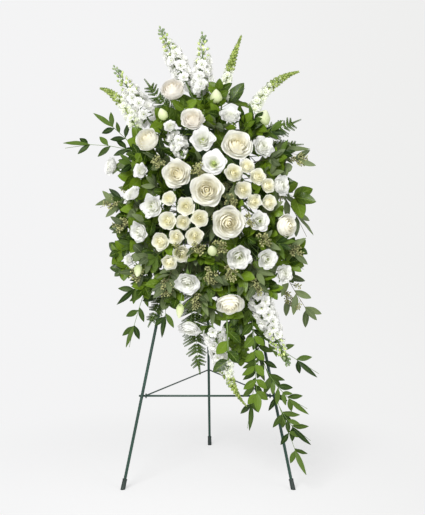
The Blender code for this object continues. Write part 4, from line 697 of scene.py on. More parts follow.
def placed_leaf(at, along, sign, kind, scale, length, thick, holds, rng, taken):
    """The way, sides and size of a leaf at a point of its stem, turned so that it meets nothing, or
    None. The random draws don't depend on what is in its way."""
    _, width, angle, _, stations = LEAF_KINDS[kind]
    if not sign:
        stations = stations[-1:]
    width = width * CM * scale * rng.uniform(*WIDTH_SPREAD)
    length = length * scale * rng.uniform(*LENGTH_SPREAD)
    angle = math.radians(angle + rng.uniform(-LEAN_SPREAD, LEAN_SPREAD)) if sign else 0.0
    roll = rng.uniform(-ROLL_SPREAD, ROLL_SPREAD)
    face = facing_out(at, along)
    side = along.cross(face).normalized() * (sign or 1)
    straight = along * math.cos(angle) + side * math.sin(angle)
    flat = (along * math.sin(angle) - side * math.cos(angle)).normalized()
    for pitch, twist in LEAF_TURNS:
        turn = math.radians(pitch)
        way = (straight * math.cos(turn) + face * math.sin(turn)).normalized()
        normal = (face * math.cos(turn) - straight * math.sin(turn)).normalized()
        spin = Matrix.Rotation(math.radians(roll + twist), 3, way)
        lateral, normal = spin @ flat, spin @ normal
        lower, tip, upper = blade_edge(at, way, lateral, normal, length, width, stations)
        if not sign and lateral.dot(side) > 0:
            lower, upper = upper, lower
        rim = [holds[0] + side * thick] + lower + [tip] + upper[::-1] + [holds[1] + side * thick]
        shape = BVHTree.FromPolygons(*lens(rim[1:-1], at + way * LEAF_STALK, normal))
        if any(shape.overlap(other) for other in taken):
            continue
        if is_clear(capped_rings([rim], at - face * thick, at + face * thick), LEAF_MARGIN):
            taken.append(shape)
            return way, lateral, normal, length, width
    return None


def along_path(points, share):
    """The point at a share of a route and the way that the route has there."""
    place = min(share * (len(points) - 1), len(points) - 1.001)
    index = int(place)
    ways = tangents(points)
    point = points[index].lerp(points[index + 1], place - index)
    return point, ways[index].lerp(ways[index + 1], place - index).normalized()


def stem_line(points, kind, start):
    """The corners of a leafy stem along a route, and how many of them bear no leaf."""
    total = length_of(points)
    count = max(2, round(total * (1 - start) / (LEAF_KINDS[kind][3] * CM)))
    bare = 1 + round(start * total / BARE_SPACING)
    shares = [start * k / bare for k in range(1, bare)]
    shares += [start + (1 - start) * (k + 0.15) / (count + 0.4) for k in range(count)]
    line = [points[0]] + [along_path(points, share)[0] for share in shares] + [points[-1]]
    return line, bare - 1


def turned_out(solid):
    """The solid with its faces pointing out."""
    vertices, faces = solid
    volume = 0.0
    for face in faces:
        for k in range(1, len(face) - 1):
            volume += vertices[face[0]].dot(vertices[face[k]].cross(vertices[face[k + 1]]))
    if volume < 0:
        return vertices, [tuple(reversed(face)) for face in faces]
    return vertices, faces


def corners_of(points):
    low = Vector([min(p[k] for p in points) for k in range(3)])
    high = Vector([max(p[k] for p in points) for k in range(3)])
    return low, high


def is_clear(solid, margin=SEED_MARGIN):
    """True if a solid meets nothing that is built so far, and no corner of it is inside anything."""
    vertices, faces = solid
    low, high = corners_of(vertices)
    tree = None
    for name, other, other_low, other_high in obstacles:
        if name == growing[0]:
            continue
        if any(low[k] - margin > other_high[k] or other_low[k] > high[k] + margin for k in range(3)):
            continue
        tree = tree or BVHTree.FromPolygons(vertices, faces)
        if tree.overlap(other):
            return False
        for point in vertices:
            found, normal, _, distance = other.find_nearest(point, DEEPEST)
            if found is not None and (distance < margin or (point - found).dot(normal) < 0):
                return False
    return True


def remember(name, vertices, faces):
    obstacles.append((name, BVHTree.FromPolygons(vertices, faces), *corners_of(vertices)))


def remember_node(name):
    """Puts a node of the frame in the way of what is placed after it."""
    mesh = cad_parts[name].data
    remember(name, [v.co - SHIFT for v in mesh.vertices], [tuple(face.vertices) for face in mesh.polygons])


def front_leg_point(side, height):
    spread = FRONT_SPREAD + (APEX_SPREAD - FRONT_SPREAD) * height / APEX_HEIGHT
    return Vector((side * spread, leg_plane_y(height), height))


def rear_leg_point(height):
    foot = Vector((REAR_FOOT_X, REAR_FOOT_Y, 0))
    pivot = Vector((PIVOT_X, PIVOT_Y, PIVOT_HEIGHT))
    return foot.lerp(pivot, height / PIVOT_HEIGHT)


def crossbar_y():
    """Y of the crossbar, which lies behind the front legs."""
    return leg_plane_y(CROSSBAR_HEIGHT) + FRONT_LEG_RADIUS + BAR_RADIUS + GAP


def keep_foam_clear():
    """The foam stands in the way as a plain block."""
    middle = on_holder(0, 0, (FOAM_BACK + FOAM_FRONT) / 2)
    half = (FOAM_HALF_WIDTH, FOAM_HALF_LENGTH, (FOAM_FRONT - FOAM_BACK) / 2)
    remember("foam_block", *turned_out(box(middle, Vector((1, 0, 0)), plane_up(), plane_out(), half)))


def keep_stalks_clear():
    """Every stem's foot stands in the others' way from the start, and a little round it."""
    plans = dict(BUNDLE_ROOTS)
    for table in (STOCK, SNAPDRAGONS, GREENS, FERNS):
        plans.update((name, row[0]) for name, row in table.items())
    for name, root in plans.items():
        point, way = foam_root(*root)
        room = ROSE_FOOT_ROOM if name.startswith("rose_stems") else FOOT_ROOM
        ends = [point + way * (0.5 * MM), point + way * (FOOT_REACH + 2 * MM)]
        remember(name, *turned_out(tube(ends, room, 6)))


def keep_fold_clear():
    """The space behind the front legs that the rear leg and the brace sweep when they fold."""
    for middle, half in FOLD_SPACE:
        remember("fold", *turned_out(box(Vector(middle), *Matrix.Identity(3), half)))


def stalk(skin, name, root, radius):
    """Draws the straight foot of a stem in the foam. Gives its two ends and the way out."""
    growing[0] = name
    point, way = foam_root(*root)
    foot = [point - way * (HOLE_DEPTH - MM), point + way * FOOT_REACH]
    skin.rod(foot, radius, "stem", STEM_SIDES)
    return foot, way


def clear_route(start, leave, end, arrive, radius, sides, hip=None, neck=10 * MM):
    """The fine course of a stem that meets nothing: the plain curve, or else one that is bowed to
    a side. Its last part is straight, under the flower."""
    throat = end - arrive * neck
    distance = (throat - start).length
    side, up = across((throat - start).normalized())
    radii = [radius] * (ROUTE_STEPS + 1) + [hip or radius]
    first = None
    for bow in STEM_BOWS:
        for k in range(STEM_BOW_WAYS if bow else 1):
            offset = spoke(side, up, 2 * math.pi * k / STEM_BOW_WAYS) * (bow * MM)
            for pull in STEM_PULLS:
                controls = [start, start + leave * (pull * distance) + offset]
                controls += [throat - arrive * (0.3 * distance) + offset, throat]
                first = first or controls
                solid = tube(bezier(controls, ROUTE_STEPS) + [end], radii, sides)
                if is_clear(solid, STEM_MARGIN):
                    return bezier(controls, FINE_STEPS) + [end]
    return bezier(first, FINE_STEPS) + [end]


def head_place(head, share):
    """Base point, facing and radius of a flower whose middle lies at share of its height there."""
    x, z, diameter, behind, facing = head[:5]
    facing = Vector(facing).normalized()
    radius = diameter * CM / 2
    return on_dome(x, z, behind) - facing * (share * radius), facing, radius


def facing_out(point, way):
    """The way a leaf's upper face looks: outward from the heart of the spray, square to the leaf."""
    outward = (point - on_holder(0, 0, 0)).normalized() + Vector(TO_VIEWER)
    return (outward - way * outward.dot(way)).normalized()


def seed_twig(base, way, reach, turn):
    """A short twig that swells into pointed seeds, each set to a side of it."""
    side, up = across(way)
    rings = []
    for k in range(2 * SEEDS_ON_TWIG):
        seed = k % 2
        offset = spoke(side, up, turn + NEXT_TURN * k) * (2.4 * MM * seed)
        at = base + way * (reach * (k + 0.5) / (2 * SEEDS_ON_TWIG)) + offset
        size = (3.4 if seed else 1.0) * MM
        rings.append([at + spoke(side, up, 2 * math.pi * j / 3 + turn) * size for j in range(3)])
    return capped_rings(rings, base, base + way * reach)


def forked(point, way, controls, index):
    """Where a branch starts in its stem and the way it leaves: turned from the stem towards its
    first bend, and a little off the stem's axis, so that their faces don't coincide."""
    begin = point + spoke(*across(way), 0.5 + NEXT_TURN * index) * (0.4 * MM)
    if index:
        way = (way * 0.7 + (on_front(*controls[0]) - begin).normalized()).normalized()
    return begin, way


def bowed_branch(start, leave, controls, kind, leaf_start):
    """The line of a branch that meets nothing: the plain one, a bowed one or a shorter one."""
    for short in BRANCH_LENGTHS:
        for bow in BRANCH_BOWS:
            for k in range(BRANCH_BOW_WAYS if bow else 1):
                turn = 2 * math.pi * k / BRANCH_BOW_WAYS
                aside, aloft = bow * math.cos(turn), bow * math.sin(turn)
                moved = [(x + aside, z + 0.6 * aloft, rise + 0.8 * aloft) for x, z, rise in controls]
                moved[-1] = controls[-1]
                points = [start, start + leave * STRAIGHT_START] + [on_front(*c) for c in moved]
                points = bezier(points, BRANCH_STEPS)
                points = [along_path(points, short * i / BRANCH_STEPS)[0] for i in range(BRANCH_STEPS + 1)]
                line, bare = stem_line(points, kind, leaf_start)
                if is_clear(tube(line, BRANCH_ROOM, 4), BRANCH_MARGIN):
                    return line, bare
    return None, 0


crossbar_low, crossbar_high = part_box("crossbar")
crossbar_middle = (crossbar_low + crossbar_high) / 2
SHIFT = Vector((crossbar_middle.x, crossbar_middle.y - crossbar_y(), 0))


def add_object(name, data, place, target=None):
    """A new object at a place, turned to look at a target if there is one."""
    thing = bpy.data.objects.new(name, data)
    thing.location = place
    if target:
        thing.rotation_euler = (target - thing.location).to_track_quat("-Z", "Y").to_euler()
    bpy.context.scene.collection.objects.link(thing)
    return thing


class Skin:
    """The points, faces, finishes and marks of one piece while it is put together. A mark is a
    point's place on its petal or leaf: share along it, share across it, and a tone of its own."""

    def __init__(self, finishes):
        self.finishes = finishes
        self.points, self.marks, self.faces, self.kinds = [], [], [], []
        self.count = 0

    def grid(self, points, along, across_it, tone, finish, closed=False):
        """A sheet of rows and columns of points. A closed one joins its last column to its first."""
        rows, columns = points.shape[:2]
        index = np.arange(rows * columns).reshape(rows, columns) + self.count
        if closed:
            index = np.concatenate([index, index[:, :1]], axis=1)
        quads = np.stack([index[:-1, :-1], index[:-1, 1:], index[1:, 1:], index[1:, :-1]], axis=-1)
        quads = quads.reshape(-1, 4)
        marks = np.empty((rows, columns, 3))
        marks[..., 0] = along
        marks[..., 1] = across_it
        marks[..., 2] = tone
        self.points.append(points.reshape(-1, 3))
        self.marks.append(marks.reshape(-1, 3))
        self.faces.append(quads)
        self.kinds.append(np.full(len(quads), self.finishes.index(finish)))
        self.count += rows * columns

    def rod(self, points, radii, finish, sides=6, tone=0.5):
        """A round stem through points."""
        along = np.linspace(0, 1, len(points))[:, None]
        self.grid(np.array(rings_along(points, radii, sides)), along, 0.0, tone, finish, closed=True)

    def drop(self, base, way, length, radius, finish, sides, belly=0.45, tone=0.5):
        """A bud, seed or hip: a closed swelling between two points."""
        shares = (0.0, 0.12, 0.3, belly, 0.7, 0.88, 1.0)
        sizes = (0.05, 0.55, 0.9, 1.0, 0.86, 0.5, 0.04)
        course = [base + way * (length * share) for share in shares]
        self.rod(course, [radius * size for size in sizes], finish, sides, tone)

    def piece(self, name, node_names, body):
        """The finished object, which stands for CAD nodes and rides on their body."""
        mesh = bpy.data.meshes.new(name)
        points = np.concatenate(self.points)
        faces = np.concatenate(self.faces)
        mesh.vertices.add(len(points))
        mesh.vertices.foreach_set("co", points.astype(np.float32).ravel())
        mesh.loops.add(faces.size)
        mesh.loops.foreach_set("vertex_index", faces.astype(np.int32).ravel())
        mesh.polygons.add(len(faces))
        mesh.polygons.foreach_set("loop_start", np.arange(0, faces.size, 4, dtype=np.int32))
        mesh.polygons.foreach_set("material_index", np.concatenate(self.kinds).astype(np.int32))
        marks = mesh.attributes.new("mark", "FLOAT_VECTOR", "POINT")
        marks.data.foreach_set("vector", np.concatenate(self.marks).astype(np.float32).ravel())
        mesh.update(calc_edges=True)
        mesh.shade_smooth()
        for finish in self.finishes:
            mesh.materials.append(MATERIALS[finish])
        thing = add_object(name, mesh, SHIFT)
        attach(thing, body)
        if node_names:
            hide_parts(*node_names)

    def node(self, name, ending, slot):
        """The finished piece of one node of the spray, which is in the way of those after it."""
        self.piece(name + ending, [name], "stand")
        remember_node(name)


def spokes(side, up, turns):
    """The ways out at an array of angles, as an array."""
    return np.cos(turns)[..., None] * np.array(side) + np.sin(turns)[..., None] * np.array(up)


# Outlines of the fine leaves, as parts of a sine arch: where on the arch the leaf starts, a power
# that moves its widest place towards its foot, and one that makes it blunter
OUTLINES = {
    "ruscus": (0, 0.86, 0.9),
    "broad_ruscus": (0, 0.8, 0.8),
    "salal": (0, 0.74, 0.72),
    "small_salal": (0, 0.76, 0.72),
    "silver_dollar": (0, 0.95, 0.5),
    "long_eucalyptus": (0, 0.85, 0.75),
    "calyx": (0.25, 1, 0.9),
    "pinnule": (0.22, 1, 0.7),
}
PETIOLE = 0.07  # share of a leaf's length that is stalk
LEAST_HALF_WIDTH = 0.6 * MM  # of a leaf's stalk and tip
EDGE_WAVE = 0.045  # height of the waves along a leaf's edges, as a share of its width
EDGE_WAVES = 4.6
SWAY = 0.06  # how far a leaf's tip is bent sideways, as a share of its length


def leaf_sheet(skin, base, way, lateral, normal, length, width, kind, finish, rng, rows, columns):
    """A leaf: folded along its rib, curled back at its tip, and waved along its edges."""
    base, way, lateral, normal = (np.array(v) for v in (base, way, lateral, normal))
    u = np.linspace(0, 1, rows + 1)[:, None, None]
    v = np.linspace(-1, 1, columns + 1)[None, :, None]
    start, power, bluntness = OUTLINES[kind]
    blade = start + (1 - start) * np.clip((u - PETIOLE) / (1 - PETIOLE), 0, 1)
    half = 0.5 * width * np.maximum(np.sin(np.pi * blade ** power) ** bluntness, 0.0) + LEAST_HALF_WIDTH
    phase = rng.uniform(0, 6)
    wave = EDGE_WAVE * width * np.sin(EDGE_WAVES * np.pi * u + phase) * v * v * np.sin(np.pi * u)
    sway = rng.uniform(-SWAY, SWAY) * length * u * u
    rise = FOLD * np.abs(v) ** 1.3 * half - CURL * length * u * u + wave
    points = base + way * (u * length) + lateral * (v * half + sway) + normal * rise
    skin.grid(points, u[..., 0], v[..., 0], rng.random(), finish)


# Petal layers from the outside in: petals, half angle that one spans, belly and rim radius, rim
# height, how far one edge stands in and the other out, ruffle, and tone from heart 0 to edge 1
ROSE_LAYERS = (
    (5, 0.84, 0.86, 1.02, 0.56, 0.06, 0.040, 1.00),
    (5, 0.82, 0.82, 0.88, 0.78, 0.08, 0.038, 0.95),
    (5, 0.82, 0.72, 0.70, 0.93, 0.09, 0.032, 0.84),
    (4, 0.98, 0.60, 0.50, 1.03, 0.11, 0.026, 0.66),
    (4, 0.98, 0.46, 0.34, 1.08, 0.12, 0.020, 0.48),
    (3, 1.22, 0.32, 0.18, 1.11, 0.16, 0.014, 0.32),
    (3, 1.34, 0.18, 0.03, 1.12, 0.22, 0.006, 0.18),
)
CLOSED_ROSE_LAYERS = (
    (4, 1.00, 0.92, 0.92, 0.84, 0.06, 0.036, 1.00),
    (4, 1.00, 0.88, 0.79, 1.02, 0.08, 0.034, 0.95),
    (4, 1.00, 0.78, 0.63, 1.16, 0.09, 0.030, 0.84),
    (3, 1.22, 0.64, 0.46, 1.27, 0.12, 0.024, 0.66),
    (3, 1.26, 0.48, 0.28, 1.34, 0.14, 0.016, 0.48),
    (3, 1.34, 0.28, 0.05, 1.38, 0.20, 0.008, 0.30),
)
SPRAY_ROSE_LAYERS = (
    (5, 0.82, 0.86, 1.04, 0.58, 0.07, 0.050, 1.00),
    (5, 0.82, 0.76, 0.80, 0.84, 0.09, 0.040, 0.84),
    (4, 0.98, 0.60, 0.52, 1.00, 0.11, 0.030, 0.62),
    (3, 1.24, 0.40, 0.26, 1.06, 0.15, 0.020, 0.42),
    (3, 1.34, 0.20, 0.03, 1.08, 0.20, 0.008, 0.22),
)
LISIANTHUS_LAYERS = (
    (5, 0.78, 0.70, 1.04, 0.74, 0.07, 0.090, 1.00),
    (5, 0.78, 0.66, 0.86, 0.90, 0.09, 0.085, 0.92),
    (5, 0.80, 0.55, 0.66, 1.00, 0.10, 0.070, 0.78),
    (4, 0.98, 0.42, 0.44, 1.04, 0.12, 0.055, 0.58),
    (3, 1.25, 0.26, 0.22, 1.00, 0.15, 0.036, 0.34),
)
OPEN_LAYERS = (
    (5, 0.82, 0.66, 1.04, 0.66, 0.07, 0.060, 1.00),
    (5, 0.82, 0.60, 0.88, 0.80, 0.08, 0.060, 0.95),
    (5, 0.84, 0.46, 0.60, 0.84, 0.09, 0.050, 0.80),
)
LIP = 0.055  # how far a petal's very rim turns out, as a share of the flower's radius
ROSE_POINT = 0.065  # how far the tip of a rose's petal stands out


def petal_sheet(skin, base, facing, side, up, radius, layer, turn, finish, rng, rows, columns, point):
    """One petal. It rises from the foot, bellies out and comes to its rim on a smooth curve. The
    rims of the inner petals close over the heart, and those of the outer ones roll back."""
    _, span, belly, rim, height, lap, wave, tone = layer
    u = np.linspace(0, 1, rows + 1)[:, None]
    v = np.linspace(-1, 1, columns + 1)[None, :]
    phase, second = rng.uniform(0, 6), rng.uniform(0, 6)
    size = rng.uniform(0.95, 1.04)
    u = u * (1 - 0.16 * np.abs(v) ** 2.6 + 0.4 * wave * np.sin(5 * v + second))
    belly, rim, height = belly * size, rim * size, height * (0.5 + 0.5 * size)
    pulls = ((0.06, 0.02), (belly, 0.02), (belly * 1.02, height * 0.8), (rim, height))
    shares = ((1 - u) ** 3, 3 * u * (1 - u) ** 2, 3 * u * u * (1 - u), u ** 3)
    reach = sum(share * pull[0] for share, pull in zip(shares, pulls))
    lift = sum(share * pull[1] for share, pull in zip(shares, pulls))
    curl = np.clip((u - 0.86) / 0.14, 0, 1) ** 2
    tip = point * tone * np.exp(-(v / 0.24) ** 2)
    reach = reach * (1 + lap * v) + (LIP * min(1.5 * rim, 1.0) + tip) * curl
    lift = lift - (0.3 * LIP + 0.09 * tone * v * v) * curl
    reach = reach + wave * np.sin(4.2 * v + phase) * u ** 3
    lift = lift + 0.6 * wave * np.cos(6.4 * v + second) * u ** 4
    angle = turn + span * v * (0.5 + 0.5 * np.sin(0.5 * np.pi * np.clip(u / 0.7, 0, 1)))
    points = np.array(base) + spokes(side, up, angle) * (radius * np.maximum(reach, 0.01))[..., None]
    points = points + np.array(facing) * (radius * lift)[..., None]
    skin.grid(points, u, np.broadcast_to(v, u.shape), tone * 0.92 + 0.08 * rng.random(), finish)


def bloom(skin, base, facing, radius, layers, finish, rng, rows, columns, point=0.0):
    """A flower of petal layers, each turned to lie over the gaps of the last."""
    side, up = across(facing)
    start = rng.uniform(0, 6)
    for level, layer in enumerate(layers):
        count = layer[0]
        for k in range(count):
            turn = start + 2 * math.pi * (k + rng.uniform(-0.1, 0.1)) / count + NEXT_TURN * level
            petal_sheet(skin, base, facing, side, up, radius, layer, turn, finish, rng, rows, columns, point)


def calyx(skin, base, facing, radius, length, rng):
    """Five pointed sepals that lie back under a flower."""
    side, up = across(facing)
    for k in range(5):
        outward = spoke(side, up, 2 * math.pi * (k + rng.uniform(-0.15, 0.15)) / 5)
        way = (outward * 0.9 + facing * rng.uniform(-0.5, 0.4)).normalized()
        lateral = facing.cross(outward).normalized()
        normal = way.cross(lateral).normalized()
        if normal.dot(facing) < 0:
            normal = -normal
        foot = base + outward * (0.3 * radius)
        leaf_sheet(skin, foot, way, lateral, normal, length, radius * 1.1, "calyx", "calyx", rng, 5, 2)


MATERIALS = {}


class Finish:
    """A material put together from nodes. It knows where on its petal or leaf a point is."""

    def __init__(self, name, roughness, **fixed):
        self.made = bpy.data.materials.new(name)
        self.made.use_nodes = True
        MATERIALS[name] = self.made
        self.tree = self.made.node_tree
        self.shader = self.tree.nodes["Principled BSDF"]
        self.shader.inputs["Roughness"].default_value = roughness
        for socket, value in fixed.items():
            self.shader.inputs[socket.replace("_", " ")].default_value = value
        self.place = self.add("ShaderNodeTexCoord").outputs["Object"]
        mark = self.add("ShaderNodeAttribute")
        mark.attribute_name = "mark"
        shares = self.add("ShaderNodeSeparateXYZ")
        self.tree.links.new(mark.outputs["Vector"], shares.inputs[0])
        self.along, self.across, self.tone = shares.outputs

    def add(self, kind, **settings):
        node = self.tree.nodes.new(kind)
        for setting, value in settings.items():
            setattr(node, setting, value)
        return node

    def fill(self, socket, value):
        """Links an output to a socket, or sets a plain value on it."""
        if isinstance(value, bpy.types.NodeSocket):
            self.tree.links.new(value, socket)
        elif value is not None:
            socket.default_value = value

    def math(self, operation, first, second=None, third=None):
        node = self.add("ShaderNodeMath", operation=operation)
        for socket, value in zip(node.inputs, (first, second, third)):
            self.fill(socket, value)
        return node.outputs[0]

    def span(self, value, low, high, start=0.0, end=1.0):
        """A value's place between two others, held to a range."""
        node = self.add("ShaderNodeMapRange", interpolation_type="SMOOTHSTEP")
        for socket, number in zip(node.inputs, (value, low, high, start, end)):
            self.fill(socket, number)
        return node.outputs[0]

    def noise(self, scale, detail=3.0):
        node = self.add("ShaderNodeTexNoise")
        self.fill(node.inputs["Vector"], self.place)
        node.inputs["Scale"].default_value = scale
        node.inputs["Detail"].default_value = detail
        return node.outputs["Fac"]

    def ramp(self, value, *stops):
        """Colours along a value, each given as a place and a colour."""
        node = self.add("ShaderNodeValToRGB")
        points = node.color_ramp.elements
        while len(points) < len(stops):
            points.new(0.5)
        for point, (place, colour) in zip(points, stops):
            point.position = place
            point.color = (*colour, 1)
        self.fill(node.inputs[0], value)
        return node.outputs[0]

    def mix(self, share, first, second):
        node = self.add("ShaderNodeMix", data_type="RGBA")
        self.fill(node.inputs[0], share)
        for socket, value in ((node.inputs[6], first), (node.inputs[7], second)):
            if isinstance(value, tuple):
                value = (*value, 1)
            self.fill(socket, value)
        return node.outputs[2]

    def colour(self, value):
        self.fill(self.shader.inputs["Base Color"], value)

    def let_light_through(self, share, colour):
        """Mixes in the light that comes through a thin sheet from behind."""
        through = self.add("ShaderNodeBsdfTranslucent")
        self.fill(through.inputs["Color"], colour)
        self.blend(share, through)

    def blend(self, share, other):
        """Mixes the light of another shader into the surface."""
        both = self.add("ShaderNodeMixShader")
        self.fill(both.inputs[0], share)
        self.fill(both.inputs[1], self.shader.outputs[0])
        self.fill(both.inputs[2], other.outputs[0])
        self.fill(self.tree.nodes["Material Output"].inputs["Surface"], both.outputs[0])

    def roughness(self, value):
        self.fill(self.shader.inputs["Roughness"], value)

    def bump(self, height, distance, strength):
        node = self.add("ShaderNodeBump")
        node.inputs["Strength"].default_value = strength
        node.inputs["Distance"].default_value = distance
        self.fill(node.inputs["Height"], height)
        self.tree.links.new(node.outputs[0], self.shader.inputs["Normal"])


def petal_finish(name, heart, middle, edge, throat=None, veins=26.0, roughness=0.55):
    """A petal: one colour deep in the flower, another at its rim, fine veins and soft crinkles."""
    finish = Finish(name, roughness)
    cloud = finish.noise(38.0)
    depth = finish.math("MULTIPLY_ADD", finish.tone, 0.62, finish.math("MULTIPLY", finish.along, 0.38))
    depth = finish.math("ADD", depth, finish.math("MULTIPLY_ADD", cloud, 0.16, -0.08))
    colour = finish.ramp(depth, (0.10, heart), (0.50, middle), (0.86, edge))
    if throat:
        low = finish.span(finish.along, 0.05, 0.5, 1.0, 0.0)
        colour = finish.mix(low, colour, throat)
    wander = finish.math("MULTIPLY", finish.noise(55.0), 2.4)
    line = finish.math("MULTIPLY_ADD", finish.across, veins, wander)
    line = finish.math("MULTIPLY_ADD", finish.math("SINE", line), 0.5, 0.5)
    fine = finish.math("MULTIPLY", line, 0.035)
    colour = finish.mix(fine, colour, tuple(0.82 * c for c in middle))
    finish.colour(colour)
    crinkled = finish.noise(60.0, 4.0)
    height = finish.math("MULTIPLY_ADD", line, 0.25, crinkled)
    finish.bump(height, 0.0009, 0.45)
    finish.roughness(finish.span(crinkled, 0.3, 0.7, roughness - 0.07, roughness + 0.08))
    finish.let_light_through(0.5, colour)


def leaf_finish(name, dark, light, rib, veins, roughness, vein_share, dusty=None, slant=2.2, shine=0.12):
    """A leaf: its own tone of green, a rib, side veins and faint mottling."""
    finish = Finish(name, roughness, Specular_IOR_Level=shine)
    cloud = finish.noise(26.0, 4.0)
    tone = finish.math("MULTIPLY_ADD", finish.tone, 0.75, finish.math("MULTIPLY", cloud, 0.42))
    colour = finish.ramp(tone, (0.30, dark), (0.82, light))
    if dusty:
        dust = finish.span(finish.noise(12.0, 5.0), 0.4, 0.72, 0.0, 0.5)
        colour = finish.mix(dust, colour, dusty)
    off = finish.math("ABSOLUTE", finish.across)
    place = finish.math("MULTIPLY_ADD", finish.along, veins, finish.math("MULTIPLY", off, -slant))
    wave = finish.math("SINE", finish.math("MULTIPLY", place, 2 * math.pi))
    side_vein = finish.span(wave, 0.80, 0.99)
    side_vein = finish.math("MULTIPLY", side_vein, finish.span(off, 0.98, 0.7))
    middle = finish.span(off, 0.085, 0.02)
    shown = finish.math("MAXIMUM", finish.math("MULTIPLY", side_vein, vein_share), middle)
    colour = finish.mix(finish.math("MULTIPLY", shown, 0.75), colour, rib)
    edge = finish.span(off, 0.9, 1.0, 0.0, 0.35)
    colour = finish.mix(edge, colour, tuple(0.6 * c for c in dark))
    finish.colour(colour)
    swell = finish.math("MULTIPLY_ADD", shown, -0.8, finish.noise(90.0, 3.0))
    finish.bump(swell, 0.0012, 0.6)
    finish.let_light_through(0.22, colour)
    finish.roughness(finish.span(finish.noise(60.0), 0.3, 0.7, roughness - 0.08, roughness + 0.1))


def plain_finish(name, dark, light, scale, roughness, grain, bump, **fixed):
    """A stem, seed, plastic or paint: mottled between two colours, with a fine grain."""
    finish = Finish(name, roughness, **fixed)
    cloud = finish.noise(scale, 4.0)
    share = finish.math("MULTIPLY_ADD", finish.tone, 0.5, finish.math("MULTIPLY_ADD", cloud, 1.0, -0.25))
    finish.colour(finish.ramp(share, (0.2, dark), (0.75, light)))
    fine = finish.noise(grain)
    finish.bump(fine, bump, 0.5)
    finish.roughness(finish.span(fine, 0.3, 0.7, roughness - 0.06, roughness + 0.08))


def make_finishes():
    petal_finish("rose", (0.95, 0.875, 0.58), (0.955, 0.93, 0.80), (0.955, 0.95, 0.90))
    petal_finish("pale_rose", (0.945, 0.89, 0.74), (0.95, 0.92, 0.84), (0.955, 0.935, 0.90))
    petal_finish("spray_rose", (0.94, 0.875, 0.54), (0.95, 0.93, 0.76), (0.955, 0.95, 0.87))
    petal_finish("lisianthus", (0.80, 0.84, 0.50), (0.905, 0.91, 0.845), (0.93, 0.93, 0.92),
                 (0.78, 0.84, 0.46), 34.0)
    petal_finish("white_bud", (0.42, 0.56, 0.16), (0.78, 0.84, 0.52), (0.93, 0.94, 0.84), veins=6.0)
    petal_finish("stock", (0.86, 0.88, 0.70), (0.92, 0.92, 0.88), (0.935, 0.935, 0.92), None, 18.0, 0.6)
    petal_finish("snapdragon", (0.76, 0.84, 0.42), (0.90, 0.93, 0.78), (0.94, 0.95, 0.90),
                 (0.80, 0.87, 0.54), 16.0)
    leaf_finish("ruscus", (0.014, 0.032, 0.005), (0.078, 0.130, 0.020), (0.12, 0.18, 0.05), 5.0, 0.38, 0.15,
                slant=3.4)
    leaf_finish("broad_ruscus", (0.020, 0.044, 0.004), (0.115, 0.190, 0.018), (0.17, 0.25, 0.05), 6.0, 0.36,
                0.2, slant=3.0)
    leaf_finish("salal", (0.017, 0.040, 0.002), (0.125, 0.205, 0.012), (0.17, 0.25, 0.04), 5.0, 0.32, 0.45,
                slant=1.6, shine=0.24)
    leaf_finish("eucalyptus", (0.040, 0.060, 0.020), (0.152, 0.196, 0.080), (0.22, 0.26, 0.14), 7.0, 0.6, 0.2,
                (0.18, 0.22, 0.13), 1.6)
    leaf_finish("fern", (0.014, 0.032, 0.004), (0.066, 0.112, 0.016), (0.10, 0.14, 0.03), 3.0, 0.45, 0.3)
    leaf_finish("calyx", (0.06, 0.11, 0.015), (0.14, 0.22, 0.040), (0.17, 0.25, 0.07), 2.0, 0.5, 0.1)
    plain_finish("stem", (0.05, 0.10, 0.015), (0.12, 0.19, 0.035), 30.0, 0.5, 180.0, 0.0006)
    plain_finish("twig", (0.060, 0.052, 0.022), (0.13, 0.12, 0.05), 30.0, 0.6, 160.0, 0.0006)
    plain_finish("seed", (0.13, 0.135, 0.045), (0.40, 0.41, 0.17), 40.0, 0.5, 240.0, 0.0006)
    plain_finish("bud", (0.22, 0.32, 0.06), (0.55, 0.63, 0.24), 30.0, 0.5, 120.0, 0.0008)
    plain_finish("tip_bud", (0.11, 0.17, 0.07), (0.26, 0.33, 0.16), 30.0, 0.55, 120.0, 0.0008)
    plain_finish("lime_bud", (0.085, 0.135, 0.014), (0.285, 0.355, 0.075), 30.0, 0.45, 120.0, 0.0008)
    plain_finish("paint", (0.004, 0.024, 0.015), (0.009, 0.042, 0.027), 14.0, 0.36, 320.0, 0.0002,
                 Specular_IOR_Level=0.4)
    plain_finish("tip", (0.004, 0.010, 0.008), (0.010, 0.022, 0.017), 30.0, 0.55, 260.0, 0.0003)
    # The cage and the foam are their own green made much darker with painted shade, for the deep gaps between
    # the flowers
    plain_finish("cage", (0.007, 0.020, 0.005), (0.014, 0.036, 0.009), 20.0, 0.5, 220.0, 0.0003)
    plain_finish("foam", (0.014, 0.032, 0.007), (0.030, 0.058, 0.014), 22.0, 0.95, 420.0, 0.0016)


def metal_rod(skin, points, radius):
    """A painted rod whose ends are closed and slightly rounded."""
    directions = tangents(points)
    first, last = directions[0], directions[-1]
    bevel = 0.35 * radius
    course = [points[0] + first * (0.2 * bevel), points[0], points[0] + first * bevel] + points[1:-1]
    course += [points[-1] - last * bevel, points[-1], points[-1] - last * (0.2 * bevel)]
    edge, cap = 0.72 * radius, 0.01 * radius
    skin.rod(course, [cap, edge] + [radius] * len(points) + [edge, cap], "paint", ROD_SIDES)


def straight_sheet(skin, base, way, length, shares, turns, reach, finish):
    """A closed sheet round a straight line, which has its own reach at each place."""
    points = np.array(base) + np.array(way) * (length * shares)[..., None]
    points = points + spokes(*across(way), turns) * reach[..., None]
    skin.grid(points, shares, 0.0, 0.5, finish, closed=True)


